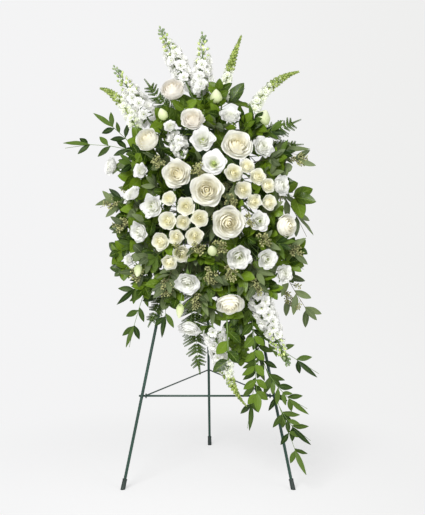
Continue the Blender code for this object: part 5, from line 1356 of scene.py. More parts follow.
def ribbed_rod(skin, start, end, radius):
    """A straight rod whose coating has a low twisted rib."""
    length = (end - start).length
    shares = np.linspace(0, 1, round(length / LEG_RIB * 4) + 1)[:, None]
    turns = np.linspace(0, 2 * math.pi, RIBBED_SIDES, endpoint=False)[None, :]
    phase = 2 * math.pi * shares * length / LEG_RIB
    reach = radius - LEG_RIB_DEPTH * (0.5 + 0.5 * np.cos(turns * 2 - phase))
    straight_sheet(skin, start, (end - start).normalized(), length, shares, turns, reach, "paint")


def ring_of_wire(skin, centre, hole_radius, wire):
    """A closed eye of round wire about a rod that runs along X."""
    rounds = np.linspace(0, 2 * math.pi, EYE_STEPS + 1)[:, None]
    turns = np.linspace(0, 2 * math.pi, EYE_SIDES, endpoint=False)[None, :]
    reach = hole_radius + wire + wire * np.cos(turns)
    aside = np.broadcast_to(wire * np.sin(turns), (EYE_STEPS + 1, EYE_SIDES))
    points = np.stack([aside, np.cos(rounds) * reach, np.sin(rounds) * reach], -1)
    skin.grid(np.array(centre) + points, 0.5, 0.0, 0.5, "paint", closed=True)


def dress_easel():
    dress_tips()
    for name, side in (("leg_front_left", -1), ("leg_front_right", 1)):
        foot = front_leg_point(side, 0)
        way = (front_leg_point(side, 1.0) - foot).normalized()
        start, end = foot + way * LEG_START, front_leg_point(side, APEX_HEIGHT)
        skin = Skin(["paint"])
        ribbed_rod(skin, start, end, FRONT_LEG_RADIUS)
        metal_rod(skin, [start, start + way * LEG_CAP], 0.96 * FRONT_LEG_RADIUS)
        metal_rod(skin, [end - way * LEG_CAP, end], 0.96 * FRONT_LEG_RADIUS)
        skin.piece(name + "_tube", [name], "stand")
    dress_bar("crossbar", CROSSBAR_HEIGHT, Vector((0, crossbar_y(), CROSSBAR_HEIGHT)))
    for name, height in zip(("hanger_bar_lower", "hanger_bar_upper"), HANGER_HEIGHTS):
        offset = plane_out() * (FRONT_LEG_RADIUS + BAR_RADIUS + GAP)
        dress_bar(name, height, Vector((0, leg_plane_y(height), height)) + offset)
    dress_head()
    dress_rear_leg()
    dress_brace()


def dress_bar(name, height, middle):
    """A bar that runs a little past both front legs."""
    reach = Vector((front_leg_point(1, height).x + CROSSBAR_OVERHANG, 0, 0))
    skin = Skin(["paint"])
    metal_rod(skin, [middle - reach, middle, middle + reach], BAR_RADIUS)
    skin.piece(name + "_rod", [name], "stand")


def dress_tips():
    """Rubbery tips with a rounded foot and a collar where the leg goes in."""
    places = {
        "tip_left": (front_leg_point(-1, 0), front_leg_point(-1, 0.2), FRONT_LEG_RADIUS, "stand"),
        "tip_right": (front_leg_point(1, 0), front_leg_point(1, 0.2), FRONT_LEG_RADIUS, "stand"),
        "tip_rear": (rear_leg_point(0), rear_leg_point(0.2), REAR_LEG_RADIUS, "rear_leg"),
    }
    for name, (foot, above, leg_radius, body) in places.items():
        way = (above - foot).normalized()
        side, up = across(way)
        outer = leg_radius + TIP_RADIUS - FRONT_LEG_RADIUS
        lip = (leg_radius + 0.05 * MM) / outer
        rings = []
        for reach, share in TIP_PROFILE + ((0.034, lip), (0.026, lip)):
            turns = [2 * math.pi * k / TIP_SIDES for k in range(TIP_SIDES)]
            rings.append([foot + way * reach + spoke(side, up, turn) * (outer * share) for turn in turns])
            for point in rings[-1]:
                point.z = max(point.z, 0.0)
        skin = Skin(["tip"])
        skin.grid(np.array(rings), 0.5, 0.0, 0.5, "tip", closed=True)
        skin.piece(name + "_cap", [name], body)


def dress_rear_leg():
    """The rear leg, flattened towards the eye that turns on the pivot pin."""
    pivot = Vector((PIVOT_X, PIVOT_Y, PIVOT_HEIGHT))
    foot = rear_leg_point(0)
    way = (pivot - foot).normalized()
    skin = Skin(["paint"])
    ring_of_wire(skin, pivot, PIN_RADIUS + EYE_CLEARANCE, 0.9 * RING_WIRE)
    top = pivot - way * (PIN_RADIUS + EYE_CLEARANCE + 1.2 * RING_WIRE)
    course = [foot + way * LEG_START, top - way * 0.03, top - way * 0.018, top - way * 0.008, top]
    radii = [REAR_LEG_RADIUS, REAR_LEG_RADIUS, 3.4 * MM, 2.4 * MM, 2.0 * MM]
    skin.rod(course, radii, "paint", ROD_SIDES)
    skin.piece("leg_rear_tube", ["leg_rear"], "rear_leg")


def dress_brace():
    """The brace's wire, bent in a round bow behind the rear leg."""
    clear = REAR_LEG_RADIUS + WIRE_RADIUS + BEND_ROOM
    middle = rear_leg_point(BRACE_REAR_HEIGHT)
    turns = [math.pi * k / BEND_STEPS for k in range(BEND_STEPS + 1)]
    bend = [middle + Vector((-math.cos(turn) * clear, math.sin(turn) * clear, 0)) for turn in turns]
    eye_x = front_leg_point(1, CROSSBAR_HEIGHT).x - EYE_INSET
    skin = Skin(["paint"])
    starts = []
    for side in (-1, 1):
        centre = Vector((side * eye_x, crossbar_y(), CROSSBAR_HEIGHT))
        ring_of_wire(skin, centre, BAR_RADIUS + EYE_CLEARANCE, 0.95 * WIRE_RADIUS)
        starts.append(centre + Vector((0, BAR_RADIUS + EYE_CLEARANCE + WIRE_RADIUS, 0)))
    skin.rod([starts[0]] + bend + [starts[1]], WIRE_RADIUS, "paint", BRACE_SIDES)
    skin.piece("brace_bent_wire", ["brace_wire"], "brace")


def dress_head():
    """The head keeps its solid, with its edges rounded."""
    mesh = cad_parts["head"].data.copy()
    thing = add_object("head_casting", mesh, Vector())
    work = bmesh.new()
    work.from_mesh(mesh)
    bmesh.ops.remove_doubles(work, verts=work.verts, dist=0.01 * MM)
    bmesh.ops.dissolve_limit(work, angle_limit=math.radians(1), verts=work.verts, edges=work.edges)
    sharp = [edge for edge in work.edges if edge.calc_face_angle(0) > math.radians(50)]
    bmesh.ops.bevel(work, geom=sharp, offset=0.6 * MM, segments=2, affect="EDGES", profile=0.6)
    work.to_mesh(mesh)
    work.free()
    mesh.materials.clear()
    mesh.materials.append(MATERIALS["paint"])
    mesh.shade_smooth()
    mesh.set_sharp_from_angle(angle=math.radians(40))
    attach(thing, "stand")
    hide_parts("head")


def finish_cad_node(name, finish):
    """A node whose shape stays gets the finish on its own slots."""
    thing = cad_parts[name]
    if not thing.material_slots:
        thing.data.materials.append(MATERIALS[finish])
    for slot in thing.material_slots:
        slot.material = MATERIALS[finish]


def tapered(points, start, finish):
    return list(np.linspace(start, finish, len(points)))


def fanned_stem(skin, foot, leave, end, facing, kind, hip=None):
    """A stem of a bundle, to one of its flowers. It starts inside the foot, on the flower's side."""
    offset, room, plain_sides, thick, thin, sides, neck = BUNDLE_STEMS[kind]
    outward = end - foot[1]
    outward = (outward - leave * outward.dot(leave)).normalized()
    start = foot[1] - leave * (3 * MM) + outward * (offset * MM)
    course = clear_route(start, leave, end, facing, room * MM, plain_sides, hip, neck * MM)
    skin.rod(course, tapered(course, thick * MM, thin * MM), "stem", sides)


def dress_rose_heads():
    for name, head in ROSES.items():
        rng = random.Random(name + " petals")
        base, facing, radius = head_place(head, ROSE_SEAT)
        skin = Skin(["rose", "pale_rose", "calyx"])
        finish = "pale_rose" if name in PALE_ROSES else "rose"
        layers = CLOSED_ROSE_LAYERS if name in CLOSED_ROSES else ROSE_LAYERS
        bloom(skin, base, facing, ROSE_FULLNESS * radius, layers, finish, rng, 9, 8, ROSE_POINT)
        calyx(skin, base + facing * (0.03 * radius), facing, 0.32 * radius, 0.62 * radius, rng)
        skin.node(name, "_petals", "rose_petal")


def dress_spray_roses():
    for name, heads in SPRAY_ROSES.items():
        rng = random.Random(name + " petals")
        skin = Skin(["spray_rose", "calyx", "stem"])
        foot, leave = stalk(skin, name, BUNDLE_ROOTS[name], BUNDLE_FOOT_RADIUS)
        seats = []
        for head in heads:
            base, facing, radius = head_place(head, ROSE_SEAT)
            full = SPRAY_ROSE_FULLNESS * radius
            bloom(skin, base, facing, full, SPRAY_ROSE_LAYERS, "spray_rose", rng, 7, 6, ROSE_POINT)
            calyx(skin, base, facing, 0.32 * radius, 0.7 * radius, rng)
            skin.drop(base - facing * (0.34 * radius), facing, 0.5 * radius, 0.26 * radius, "stem", 8)
            seats.append((base + facing * (0.1 * radius), facing))
        for end, facing in seats:
            fanned_stem(skin, foot, leave, end, facing, "spray_rose")
        skin.node(name, "_petals", "spray_rose_petal")


def dress_rose_stems():
    for name in ("rose_stems_upper", "rose_stems_lower"):
        skin = Skin(["stem"])
        foot, leave = stalk(skin, name, BUNDLE_ROOTS[name], ROSE_FOOT_RADIUS)
        for head in ROSES.values():
            if not name.endswith(head[5]):
                continue
            base, facing, radius = head_place(head, ROSE_SEAT)
            end = base - facing * (0.02 * radius + GAP)
            fanned_stem(skin, foot, leave, end, facing, "rose", 0.2 * radius)
            skin.drop(end - facing * (0.42 * radius), facing, 0.52 * radius, 0.25 * radius, "stem", 10, 0.6)
        skin.node(name, "_green", "flower_stem")


def dress_lisianthus():
    for name, heads in LISIANTHUS.items():
        rng = random.Random(name + " petals")
        skin = Skin(["lisianthus", "calyx", "stem", "white_bud", "bud", "lime_bud"])
        seats = []
        for index, head in enumerate(heads):
            base, facing, radius = head_place(head, LISIANTHUS_SEAT)
            full = LISIANTHUS_FULLNESS * radius
            if (name, index) in OPEN_FLOWERS:
                bloom(skin, base, facing, full, OPEN_LAYERS, "lisianthus", rng, 7, 10)
                pistil = base + facing * (0.04 * radius)
                skin.drop(pistil, facing, 0.5 * radius, 0.17 * radius, "lime_bud", 10, 0.7)
            else:
                bloom(skin, base, facing, full, LISIANTHUS_LAYERS, "lisianthus", rng, 7, 10)
            for k in range(5):
                lean = (facing + spoke(*across(facing), NEXT_TURN * k) * 0.3).normalized()
                skin.drop(base + facing * (0.2 * radius), lean, 0.4 * radius, 0.05 * radius, "bud", 5, 0.8)
            calyx(skin, base, facing, 0.2 * radius, 0.8 * radius, rng)
            seats.append((base + facing * (0.12 * radius), facing))
        for x, z, diameter, length, behind, way in LISIANTHUS_BUDS.get(name, ()):
            way = Vector(way).normalized()
            base = on_dome(x, z, behind) - way * (length * CM / 2)
            furled_bud(skin, base, way, length * CM, diameter * CM / 2, rng)
            foot = base + way * (0.1 * length * CM)
            calyx(skin, foot, way, 0.2 * diameter * CM, 0.5 * length * CM, rng)
            seats.append((base + way * (3 * MM), way))
        foot, leave = stalk(skin, name, BUNDLE_ROOTS[name], BUNDLE_FOOT_RADIUS)
        for end, facing in seats:
            fanned_stem(skin, foot, leave, end, facing, "lisianthus")
        skin.node(name, "_petals", "lisianthus_petal")


def furled_bud(skin, base, way, length, radius, rng):
    """A closed bud whose petals are wound round each other in a spiral."""
    u = np.linspace(0, 1, 13)[:, None]
    turns = np.linspace(0, 2 * math.pi, 20, endpoint=False)[None, :]
    swell = np.sin(np.pi * np.clip(0.06 + 0.94 * u, 0, 1) ** 0.75) ** 0.8 + 0.02
    ridge = 1 + 0.12 * np.abs(np.sin(2 * (turns + 3.2 * u)))
    reach = 1.08 * radius * swell * ridge
    straight_sheet(skin, base, way, length, u, turns + 0.4 * rng.random(), reach, "white_bud")


# Layers of one ruffled floret of a stock, and of a snapdragon's upper and lower lips
FLORET_LAYERS = (
    (4, 0.84, 0.50, 1.02, 0.42, 0.06, 0.120, 1.00),
    (4, 0.88, 0.46, 0.80, 0.62, 0.08, 0.120, 0.92),
    (4, 0.92, 0.34, 0.50, 0.74, 0.10, 0.100, 0.72),
)


def spike_radius(table_width, share):
    """A stock spike's radius at a share of its length, as in its solid."""
    return 0.5 * table_width * CM * (0.86 + 0.3 * share - 0.86 * share * share)


def dress_stock():
    """Spikes of ruffled florets, looser and with green buds on stalks towards the tip."""
    for name, (root, start, end, width, whorls) in STOCK.items():
        rng = random.Random(name + " florets")
        start, end = on_front(*start), on_front(*end)
        way = (end - start).normalized()
        length = (end - start).length
        skin = Skin(["stock", "stem", "bud", "tip_bud", "calyx"])
        foot, leave = stalk(skin, name, root, STOCK_STEM_RADIUS)
        course = clear_route(foot[1], leave, start + way * SPIKE_SEAT, way, STOCK_STEM_RADIUS, STALK_SIDES)
        radii = [STOCK_STEM_RADIUS] * (len(course) + 1) + [2.2 * MM, 1.2 * MM]
        skin.rod(course + [start.lerp(end, share) for share in (0.3, 0.65, 0.97)], radii, "stem", STEM_SIDES)
        full_to_tip = whorls <= 5
        open_part = 1.0 if full_to_tip else OPEN_SHARE
        fullness = FULL_STOCK_FULLNESS if full_to_tip else STOCK_FULLNESS
        florets = round(length * open_part / FLORET_SPACING)
        for k in range(florets):
            share = open_part * (k + 0.5) / florets
            outward = whorled(way, k, 0.3, rng)
            reach = spike_radius(width, share) * rng.uniform(0.86, 1.04)
            at = start + way * (length * share)
            size = min(LARGEST_FLORET, fullness * reach) * rng.uniform(0.85, 1.1)
            facing = (outward + way * rng.uniform(0.0, 0.45)).normalized()
            base = at + outward * (reach - 0.62 * size) - way * (0.2 * size)
            bloom(skin, base, facing, size, FLORET_LAYERS, "stock", rng, 4, 5)
            skin.drop(base + facing * (0.18 * size), facing, 0.34 * size, 0.10 * size, "bud", 5)
            skin.rod([at, base], [1.2 * MM, 1.6 * MM], "calyx", 5)
            skin.drop(base - facing * (0.34 * size), facing, 0.5 * size, 0.20 * size, "calyx", 6, 0.5)
        buds = 0 if full_to_tip else round(length * (1 - open_part + BUD_OVERLAP) / BUD_SPACING)
        for k in range(buds):
            share = open_part - BUD_OVERLAP + (1 + BUD_OVERLAP - open_part) * (k + 0.5) / buds
            outward = whorled(way, k, 0.4, rng)
            at = start + way * (length * (share - 0.03))
            fade = max(0.0, share - open_part) / (1 - open_part)
            lean = (outward * (1.1 - 0.6 * fade) + way * (0.8 + 0.5 * fade)).normalized()
            base = at + lean * ((0.30 - 0.11 * fade) * width * CM * rng.uniform(0.55, 1.0))
            skin.rod([at, base], [0.8 * MM, 0.7 * MM], "stem", 4)
            size = (4.4 - 0.8 * fade) * MM * rng.uniform(0.85, 1.1)
            skin.drop(base, lean, 2.9 * size, size, "tip_bud" if fade > 0.6 else "bud", 7, 0.5, rng.random())
            if fade < 0.35:
                opening = base + lean * (1.9 * size)
                bloom(skin, opening, lean, 1.9 * size, FLORET_LAYERS[:1], "stock", rng, 3, 4)
        skin.node(name, "_florets", "stock_petal")


SNAP_LAYERS = (
    (5, 0.70, 0.44, 1.02, 0.60, 0.06, 0.100, 1.00),
    (4, 0.80, 0.40, 0.62, 0.82, 0.08, 0.080, 0.62),
)


def dress_snapdragons():
    """Spikes of pouched florets that give way to plump lime buds, ever smaller to the tip."""
    for name, (root, start, bend, end, width) in SNAPDRAGONS.items():
        rng = random.Random(name + " florets")
        controls = [on_front(*start), on_front(*bend), on_front(*end)]
        points = bezier(controls, SPIKE_STEPS)
        axis = bezier(controls, 24)
        length = length_of(axis)
        way = tangents(points)[0]
        skin = Skin(["snapdragon", "stem", "lime_bud", "calyx"])
        foot, leave = stalk(skin, name, root, SNAPDRAGON_STEM_RADIUS)
        seat = points[0] + way * SPIKE_SEAT
        course = clear_route(foot[1], leave, seat, way, SNAPDRAGON_STEM_RADIUS, STALK_SIDES)
        skin.rod(course + axis[4:6], SNAPDRAGON_STEM_RADIUS, "stem", STEM_SIDES)
        bare_stalks[name] = course
        skin.rod(axis[5:], tapered(axis[5:], 2.5 * MM, 1.0 * MM), "lime_bud", STEM_SIDES)
        open_part = SNAPDRAGON_OPEN_SHARES.get(name, OPEN_SHARE)
        florets = round(length * (open_part + SNAP_OVERLAP) / SNAP_SPACING)
        for k in range(florets):
            share = (open_part + SNAP_OVERLAP) * (k + 0.5) / florets
            if rng.random() < (share - open_part + 0.2) / 0.35:
                continue
            at, along = along_path(axis, share)
            outward = whorled(along, k, 0.2, rng)
            reach = 0.5 * width * CM * (1.0 - 0.8 * share) * rng.uniform(0.95, 1.12)
            size = 0.50 * reach * rng.uniform(0.9, 1.1) + 1.5 * MM
            facing = (outward + along * rng.uniform(0.1, 0.6)).normalized()
            base = at + outward * max(reach - 1.1 * size, 2 * MM)
            skin.drop(at + outward * MM, facing, 1.5 * size, 0.40 * size, "snapdragon", 8, 0.6, 0.4)
            bloom(skin, base, facing, size, SNAP_LAYERS, "snapdragon", rng, 4, 4)
            bract(skin, at, along, outward, 0.6 * size, rng)
            skin.drop(at, (outward + along * 0.3).normalized(), 7 * MM, 2.6 * MM, "lime_bud", 6, 0.5)
        first = open_part - SNAP_BUDS_FROM
        buds = round(length * (1 - first) / SNAP_BUD_SPACING)
        for k in range(buds):
            share = first + (0.995 - first) * (k + 0.5) / buds
            fade = max(0.0, (share - open_part) / (1 - open_part))
            if rng.random() > 0.2 + (share - first) / 0.24:
                continue
            at, along = along_path(axis, share)
            outward = whorled(along, k, 0.2, rng)
            reach = max(0.5 * width * CM * (0.92 - 0.62 * share), 4.6 * MM) * (1 - 0.3 * fade * fade)
            lean = (outward * (1.15 - 0.5 * fade) + along * (0.40 + 0.7 * fade)).normalized()
            skin.drop(at, lean, reach * 1.15, reach * 0.36, "lime_bud", 7, 0.62, rng.random())
        skin.node(name, "_florets", "snapdragon_petal")


def bract(skin, at, along, outward, length, rng):
    """A small pointed bract under a floret."""
    way = (outward + along * 0.5 - along * rng.uniform(0.0, 0.5)).normalized()
    lateral = along.cross(outward).normalized()
    normal = way.cross(lateral).normalized()
    width = 0.5 * length + MM
    leaf_sheet(skin, at, way, lateral, normal, length + 4 * MM, width, "calyx", "calyx", rng, 4, 2)


def leaf_seats(line, bare, radius, hold, hold_share=0.0):
    """The corners of a branch that bear leaves: each one, the way there, the next corner, its share
    of all corners and of those with leaves, the branch's radius, and the two points on the branch
    that a leaf's foot is held by."""
    directions = tangents(line)
    last = len(line) - 2
    for k in range(bare, last):
        at, after = line[k + 1], line[k + 2]
        steps = (line[k] - at, after - at)
        holds = [at + step.normalized() * (hold + hold_share * step.length) for step in steps]
        share = k / last
        level = (k - bare) / max(last - bare, 1)
        yield at, directions[k + 1], after, share, level, radius * (1 - 0.5 * share), holds


def end_leaf(line, kind, radius, rng, taken):
    """The place of the leaf at a branch's tip, or None."""
    at = line[-2]
    way = (line[-1] - at).normalized()
    reach = (line[-1] - at).length * 1.25 + 0.01
    return placed_leaf(at, way, 0, kind, 0.8, reach, 0.5 * radius, [at, at], rng, taken)


def fine_leaf(skin, kind, at, place, rng):
    """A leaf of one of the kinds. Its place is its way, its sides and its size."""
    _, finish, _, rows, columns, _ = LEAF_LOOKS[kind]
    leaf_sheet(skin, at, *place, kind, finish, rng, rows, columns)


def leafy_stem(skin, line, bare, kind, radius, rng, fine, taken):
    """The leaves of one branch, at the places and with the turns that its solid has."""
    length, _, _, spacing, _ = LEAF_KINDS[kind]
    _, _, bark, _, _, between = LEAF_LOOKS[kind]
    taken.append(BVHTree.FromPolygons(*tube(line, radius, 4)))
    course = smooth(line)
    skin.rod(course, tapered(course, radius, 0.45 * radius), bark)
    for at, along, after, share, level, thick, holds in leaf_seats(line, bare, radius, LEAF_HOLD):
        for sign in (-1, 1):
            scale = 1.0 - 0.2 * level
            found = placed_leaf(at, along, sign, kind, scale, length * CM, thick, holds, rng, taken)
            if found:
                offset = along * (sign * fine.uniform(0.0, 0.14) * spacing * CM)
                fine_leaf(skin, kind, at + offset, twisted(found, fine), fine)
        if between and share < 0.5:
            reach = length * CM * (0.72 - 0.15 * share)
            small_pair(skin, at.lerp(after, 0.5), along, kind, reach, fine)
    end = end_leaf(line, kind, radius, rng, taken)
    if end:
        fine_leaf(skin, kind, line[-2], end, fine)


def twisted(found, rng):
    """A leaf's place with a small turn of its own, about its stalk and to one side."""
    way, lateral, normal, length, width = found
    roll = Matrix.Rotation(rng.uniform(-0.4, 0.4), 3, way)
    spin = roll @ Matrix.Rotation(rng.uniform(-0.16, 0.16), 3, normal)
    return spin @ way, spin @ lateral, spin @ normal, length, width


def leaf_ways(along, face, sign, lean, lift):
    """The way of a leaf that leans off its stem and lifts towards the viewer, and of its width."""
    side = along.cross(face).normalized() * (sign or 1)
    way = (along * math.cos(lean) + side * math.sin(lean) + face * lift).normalized()
    return way, way.cross(face).normalized()


def small_pair(skin, at, along, kind, length, rng):
    """Smaller leaves between two pairs, turned out of the plane of their neighbours."""
    full_length, width, angle, _, _ = LEAF_KINDS[kind]
    for sign in (-1, 1):
        if rng.random() < 0.2:
            continue
        lean = math.radians(angle + rng.uniform(-12, 12))
        way, lateral = leaf_ways(along, facing_out(at, along), sign, lean, rng.uniform(0.25, 0.75))
        reach = length * rng.uniform(0.8, 1.1)
        wide = width * CM * reach / (full_length * CM)
        fine_leaf(skin, kind, at, (way, lateral, lateral.cross(way).normalized(), reach, wide), rng)


def smooth(line):
    """A line with a rounded course through its corners."""
    points = [line[0]]
    for k in range(1, len(line) - 1):
        before, at, after = line[k - 1], line[k], line[k + 1]
        points += [at.lerp(before, 0.22), at, at.lerp(after, 0.22)]
    return points + [line[-1]]


def seed_twigs(skin, line, bare, count, rng, fine):
    """Twigs of seed cases round a stem, drawn at the places of the plain ones."""
    for k in range(count):
        place = int(bare + 1 + (len(line) - 3 - bare) * k / count)
        at = line[place].lerp(line[place + 1], 0.5)
        along = (line[place + 1] - line[place]).normalized()
        turn = NEXT_TURN * k + rng.uniform(-0.4, 0.4)
        way = (spoke(*across(along), turn) + along * 0.9).normalized()
        reach = rng.uniform(2.6, 3.8) * CM
        if is_clear(seed_twig(at, way, reach, turn)):
            seed_cluster(skin, at, way, reach, fine)


def seed_cluster(skin, at, way, reach, rng):
    """A forked twig that carries many small pointed seed cases on short stalks."""
    skin.rod([at, at + way * (0.5 * reach), at + way * reach], [1.0 * MM, 0.8 * MM, 0.5 * MM], "twig", 5)
    for k in range(SEEDS_SHOWN):
        share = 0.25 + 0.75 * (k + 0.5) / SEEDS_SHOWN
        outward = whorled(way, k, 0.3, rng)
        lean = (outward + way * rng.uniform(0.3, 0.9)).normalized()
        node = at + way * (reach * share)
        stalk_length = rng.uniform(2.5, 5.5) * MM
        skin.rod([node, node + lean * stalk_length], [0.5 * MM, 0.4 * MM], "twig", 4)
        size = rng.uniform(1.7, 2.4) * MM
        seat = node + lean * (stalk_length - 0.5 * MM)
        skin.drop(seat, lean, 3.2 * size, size, "seed", 6, 0.5, rng.random())


def dress_greens():
    for name, (root, branches) in GREENS.items():
        rng, fine = random.Random(name), random.Random(name + " fine")
        skin = Skin(GREEN_FINISHES)
        foot, leave = stalk(skin, name, root, GREEN_FOOT_RADIUS)
        taken = []
        main = None
        for index, (share, controls, kind, leaf_start, seeds) in enumerate(branches):
            begin, away = foot[1] - leave * MM, leave
            if share and main:
                begin, away = along_path(main, share)
            begin, away = forked(begin, away, controls, index)
            line, bare = bowed_branch(begin, away, controls, kind, leaf_start)
            if not line:
                continue
            main = main or line
            radius = BRANCH_RADIUS - THINNER * index
            leafy_stem(skin, line, bare, kind, radius, rng, fine, taken)
            seed_twigs(skin, line, bare, seeds, rng, fine)
        skin.node(name, "_foliage", LEAF_LOOKS[branches[0][2]][0])


PINNAE_BETWEEN = 3  # leaflets of a fern that stand in the place of one plain one
TOOTH_SPACING = 4 * MM
TOOTH_LENGTH = 5 * MM  # at the foot of a leaflet


def frond(skin, line, bare, radius, rng, fine, taken, width):
    """A fern frond: each plain lobe of its solid becomes a row of narrow toothed leaflets."""
    taken.append(BVHTree.FromPolygons(*tube(line, radius, 4)))
    course = smooth(line)
    skin.rod(course, tapered(course, 1.3 * radius, 0.5 * radius), "stem")
    for at, along, _, _, level, thick, holds in leaf_seats(line, bare, radius, 0.0, LOBE_HOLD):
        reach = 0.5 * width * (0.5 + 1.5 * level - 1.8 * level * level)
        for sign in (-1, 1):
            found = placed_leaf(at, along, sign, "fern", 1.0, reach, thick, holds, rng, taken)
            if not found:
                continue
            way, lateral, normal, length, _ = found
            for j in range(PINNAE_BETWEEN):
                spot = (j + 0.5) / PINNAE_BETWEEN
                size = length * (1 - 0.25 * abs(2 * spot - 1)) * fine.uniform(0.92, 1.06)
                pinna(skin, holds[0].lerp(holds[1], spot), way, lateral, normal, size, fine)
    end_leaf(line, "fern", radius, rng, taken)
    tip = line[-1] - line[-2]
    way = tip.normalized()
    face = facing_out(line[-2], way)
    pinna(skin, line[-2], way, way.cross(face).normalized(), face, tip.length * 1.1, fine)


def pinna(skin, base, way, lateral, normal, length, rng):
    """One leaflet of a fern: a rib with small blunt teeth in pairs."""
    teeth = max(3, round(length / TOOTH_SPACING))
    skin.rod([base, base + way * length], [0.5 * MM, 0.3 * MM], "stem", 4)
    for k in range(teeth):
        share = (k + 0.5) / teeth
        at = base + way * (length * share) - normal * (0.1 * length * share * share)
        size = TOOTH_LENGTH * (1 - 0.7 * share) + 1.3 * MM
        for sign in (-1, 1):
            out = (way * 0.75 + lateral * sign).normalized()
            flat = (lateral - way * (sign * 0.75)).normalized()
            leaf_sheet(skin, at, out, flat, normal, size, 0.7 * size, "pinnule", "fern", rng, 3, 2)


def dress_ferns():
    for name, (root, fronds) in FERNS.items():
        rng, fine = random.Random(name), random.Random(name + " fine")
        skin = Skin(["fern", "stem"])
        foot, leave = stalk(skin, name, root, FERN_FOOT_RADIUS)
        taken = []
        for index, (controls, width) in enumerate(fronds):
            begin, away = forked(foot[1] - leave * MM, leave, controls, index)
            line, bare = bowed_branch(begin, away, controls, "fern", 0.3)
            if line:
                radius = FROND_RADIUS - THINNER * index
                frond(skin, line, bare, radius, rng, fine, taken, width * CM)
        skin.node(name, "_fronds", "fern_leaf")


def flower_faces():
    """Where each bloom lies on the rounded front, with its radius, in centimetres."""
    heads = list(ROSES.values())
    for group in list(SPRAY_ROSES.values()) + list(LISIANTHUS.values()):
        heads += list(group)
    return [(head[0], head[1], 0.5 * head[2]) for head in heads]


def filler_tip(rng, reach, faces, placed):
    """A place on the rounded front, within a share of the way to its edge. It is the freest of
    some random ones, away from the blooms and from the fillers that stand there already."""
    best = None
    for _ in range(TIP_TRIES):
        turn = rng.uniform(0, 2 * math.pi)
        share = reach * math.sqrt(rng.random())
        x = DOME_HALF_WIDTH * share * math.cos(turn) / CM
        z = (DOME_HEIGHT + DOME_HALF_LENGTH * share * math.sin(turn)) / CM
        if z > FILLER_TOP:
            continue
        bloom_gap = min(math.hypot(x - a, z - b) - radius for a, b, radius in faces)
        filler_gap = min([math.hypot(x - a, z - b) for a, b in placed] + [FILLER_GAP])
        score = min(bloom_gap * BLOOM_WEIGHT, BLOOM_GAP) + filler_gap
        if best is None or score > best[0]:
            best = (score, x, z)
    placed.append(best[1:])
    return best[1:]


def filler_stem(skin, x, z, behind, bark, thick, thin):
    """A thin stem from inside the foam to a tip behind the rounded front, bowed towards the viewer.
    Gives its course."""
    tip = on_dome(x, z, behind)
    from_middle = tip - on_holder(0, 0, 0)
    reach = (ROOT_SPREAD[0] * FOAM_HALF_WIDTH, ROOT_SPREAD[1] * FOAM_HALF_LENGTH)
    right = max(-reach[0], min(reach[0], tip.x))
    up = max(-reach[1], min(reach[1], from_middle.dot(plane_up())))
    start = on_holder(right, up, ROOT_SPREAD[2] * FOAM_FRONT)
    bow = start.lerp(tip, 0.5) + Vector((0, -FILLER_BOW, 0))
    course = bezier([start, bow, tip - from_middle.normalized() * CM, tip], FILLER_STEPS)
    skin.rod(course, tapered(course, thick * MM, thin * MM), bark, 5)
    return course


def filler_leaf(skin, at, along, sign, kind, scale, rng):
    """A leaf that keeps clear of what is there, or none after a few tries."""
    length, width, angle, _, _ = LEAF_KINDS[kind]
    length = length * CM * scale * rng.uniform(0.85, 1.1)
    width = width * CM * scale * rng.uniform(0.9, 1.1)
    for _ in range(LEAF_TRIES):
        lean = math.radians(angle + rng.uniform(-14, 14)) if sign else 0.0
        way, lateral = leaf_ways(along, facing_out(at, along), sign, lean, rng.uniform(-0.3, 0.5))
        lateral = Matrix.Rotation(rng.uniform(-0.45, 0.45), 3, way) @ lateral
        normal = lateral.cross(way).normalized()
        lower, tip, upper = blade_edge(at, way, lateral, normal, length, width, ((0.3, 0.9), (0.65, 0.9)))
        if is_clear(lens(lower + [tip] + upper[::-1], at + way * LEAF_STALK, normal), 0.0):
            fine_leaf(skin, kind, at, (way, lateral, normal, length, width), rng)
            return


def dress_fillers():
    """Short greens that fill the spray between the flowers, as its solids don't."""
    growing[0] = "fillers"
    faces = flower_faces()
    for name, slot, rows in FILLERS:
        rng = random.Random(name)
        skin = Skin(GREEN_FINISHES)
        for kind, count, reach, behind, scale, in_gaps in rows:
            placed = []
            for _ in range(count):
                x, z = filler_tip(rng, reach, faces if in_gaps else NO_FACES, placed)
                leafy_filler(skin, x, z, behind, kind, scale, rng)
        if name == "filler_salal":
            for x, z in LEAF_SPOTS:
                leafy_filler(skin, x, z, LEAF_SPOT_BEHIND, "small_salal", 0.66, rng)
            for k in range(STALK_LEAVES):
                at, along = along_path(bare_stalks["snapdragon_low"], 0.30 + 0.66 * k / STALK_LEAVES)
                filler_leaf(skin, at, along, 1 - 2 * (k % 2), "small_salal", 0.8, rng)
        if name == "filler_eucalyptus":
            for x, z in SEED_SPOTS:
                seed_spray(skin, x, z, rng)
        skin.piece(name, [], "stand")


def seed_spray(skin, x, z, rng):
    """Some twigs of seed cases on one stem, with a long leaf or two beside them."""
    course = filler_stem(skin, x, z, SEED_SPOT_BEHIND, "twig", 1.5, 0.8)
    for k in range(SEEDS_IN_SPOT):
        at, along = along_path(course, 0.99 - 0.06 * k)
        way = (along + whorled(along, k, 0.5, rng) * 0.9 * (k > 0)).normalized()
        seed_cluster(skin, at, way, rng.uniform(2.2, 3.2) * CM, rng)
    for k in range(2):
        at, along = along_path(course, 0.9 - 0.12 * k)
        filler_leaf(skin, at, along, 1 - 2 * k, "long_eucalyptus", 0.8, rng)


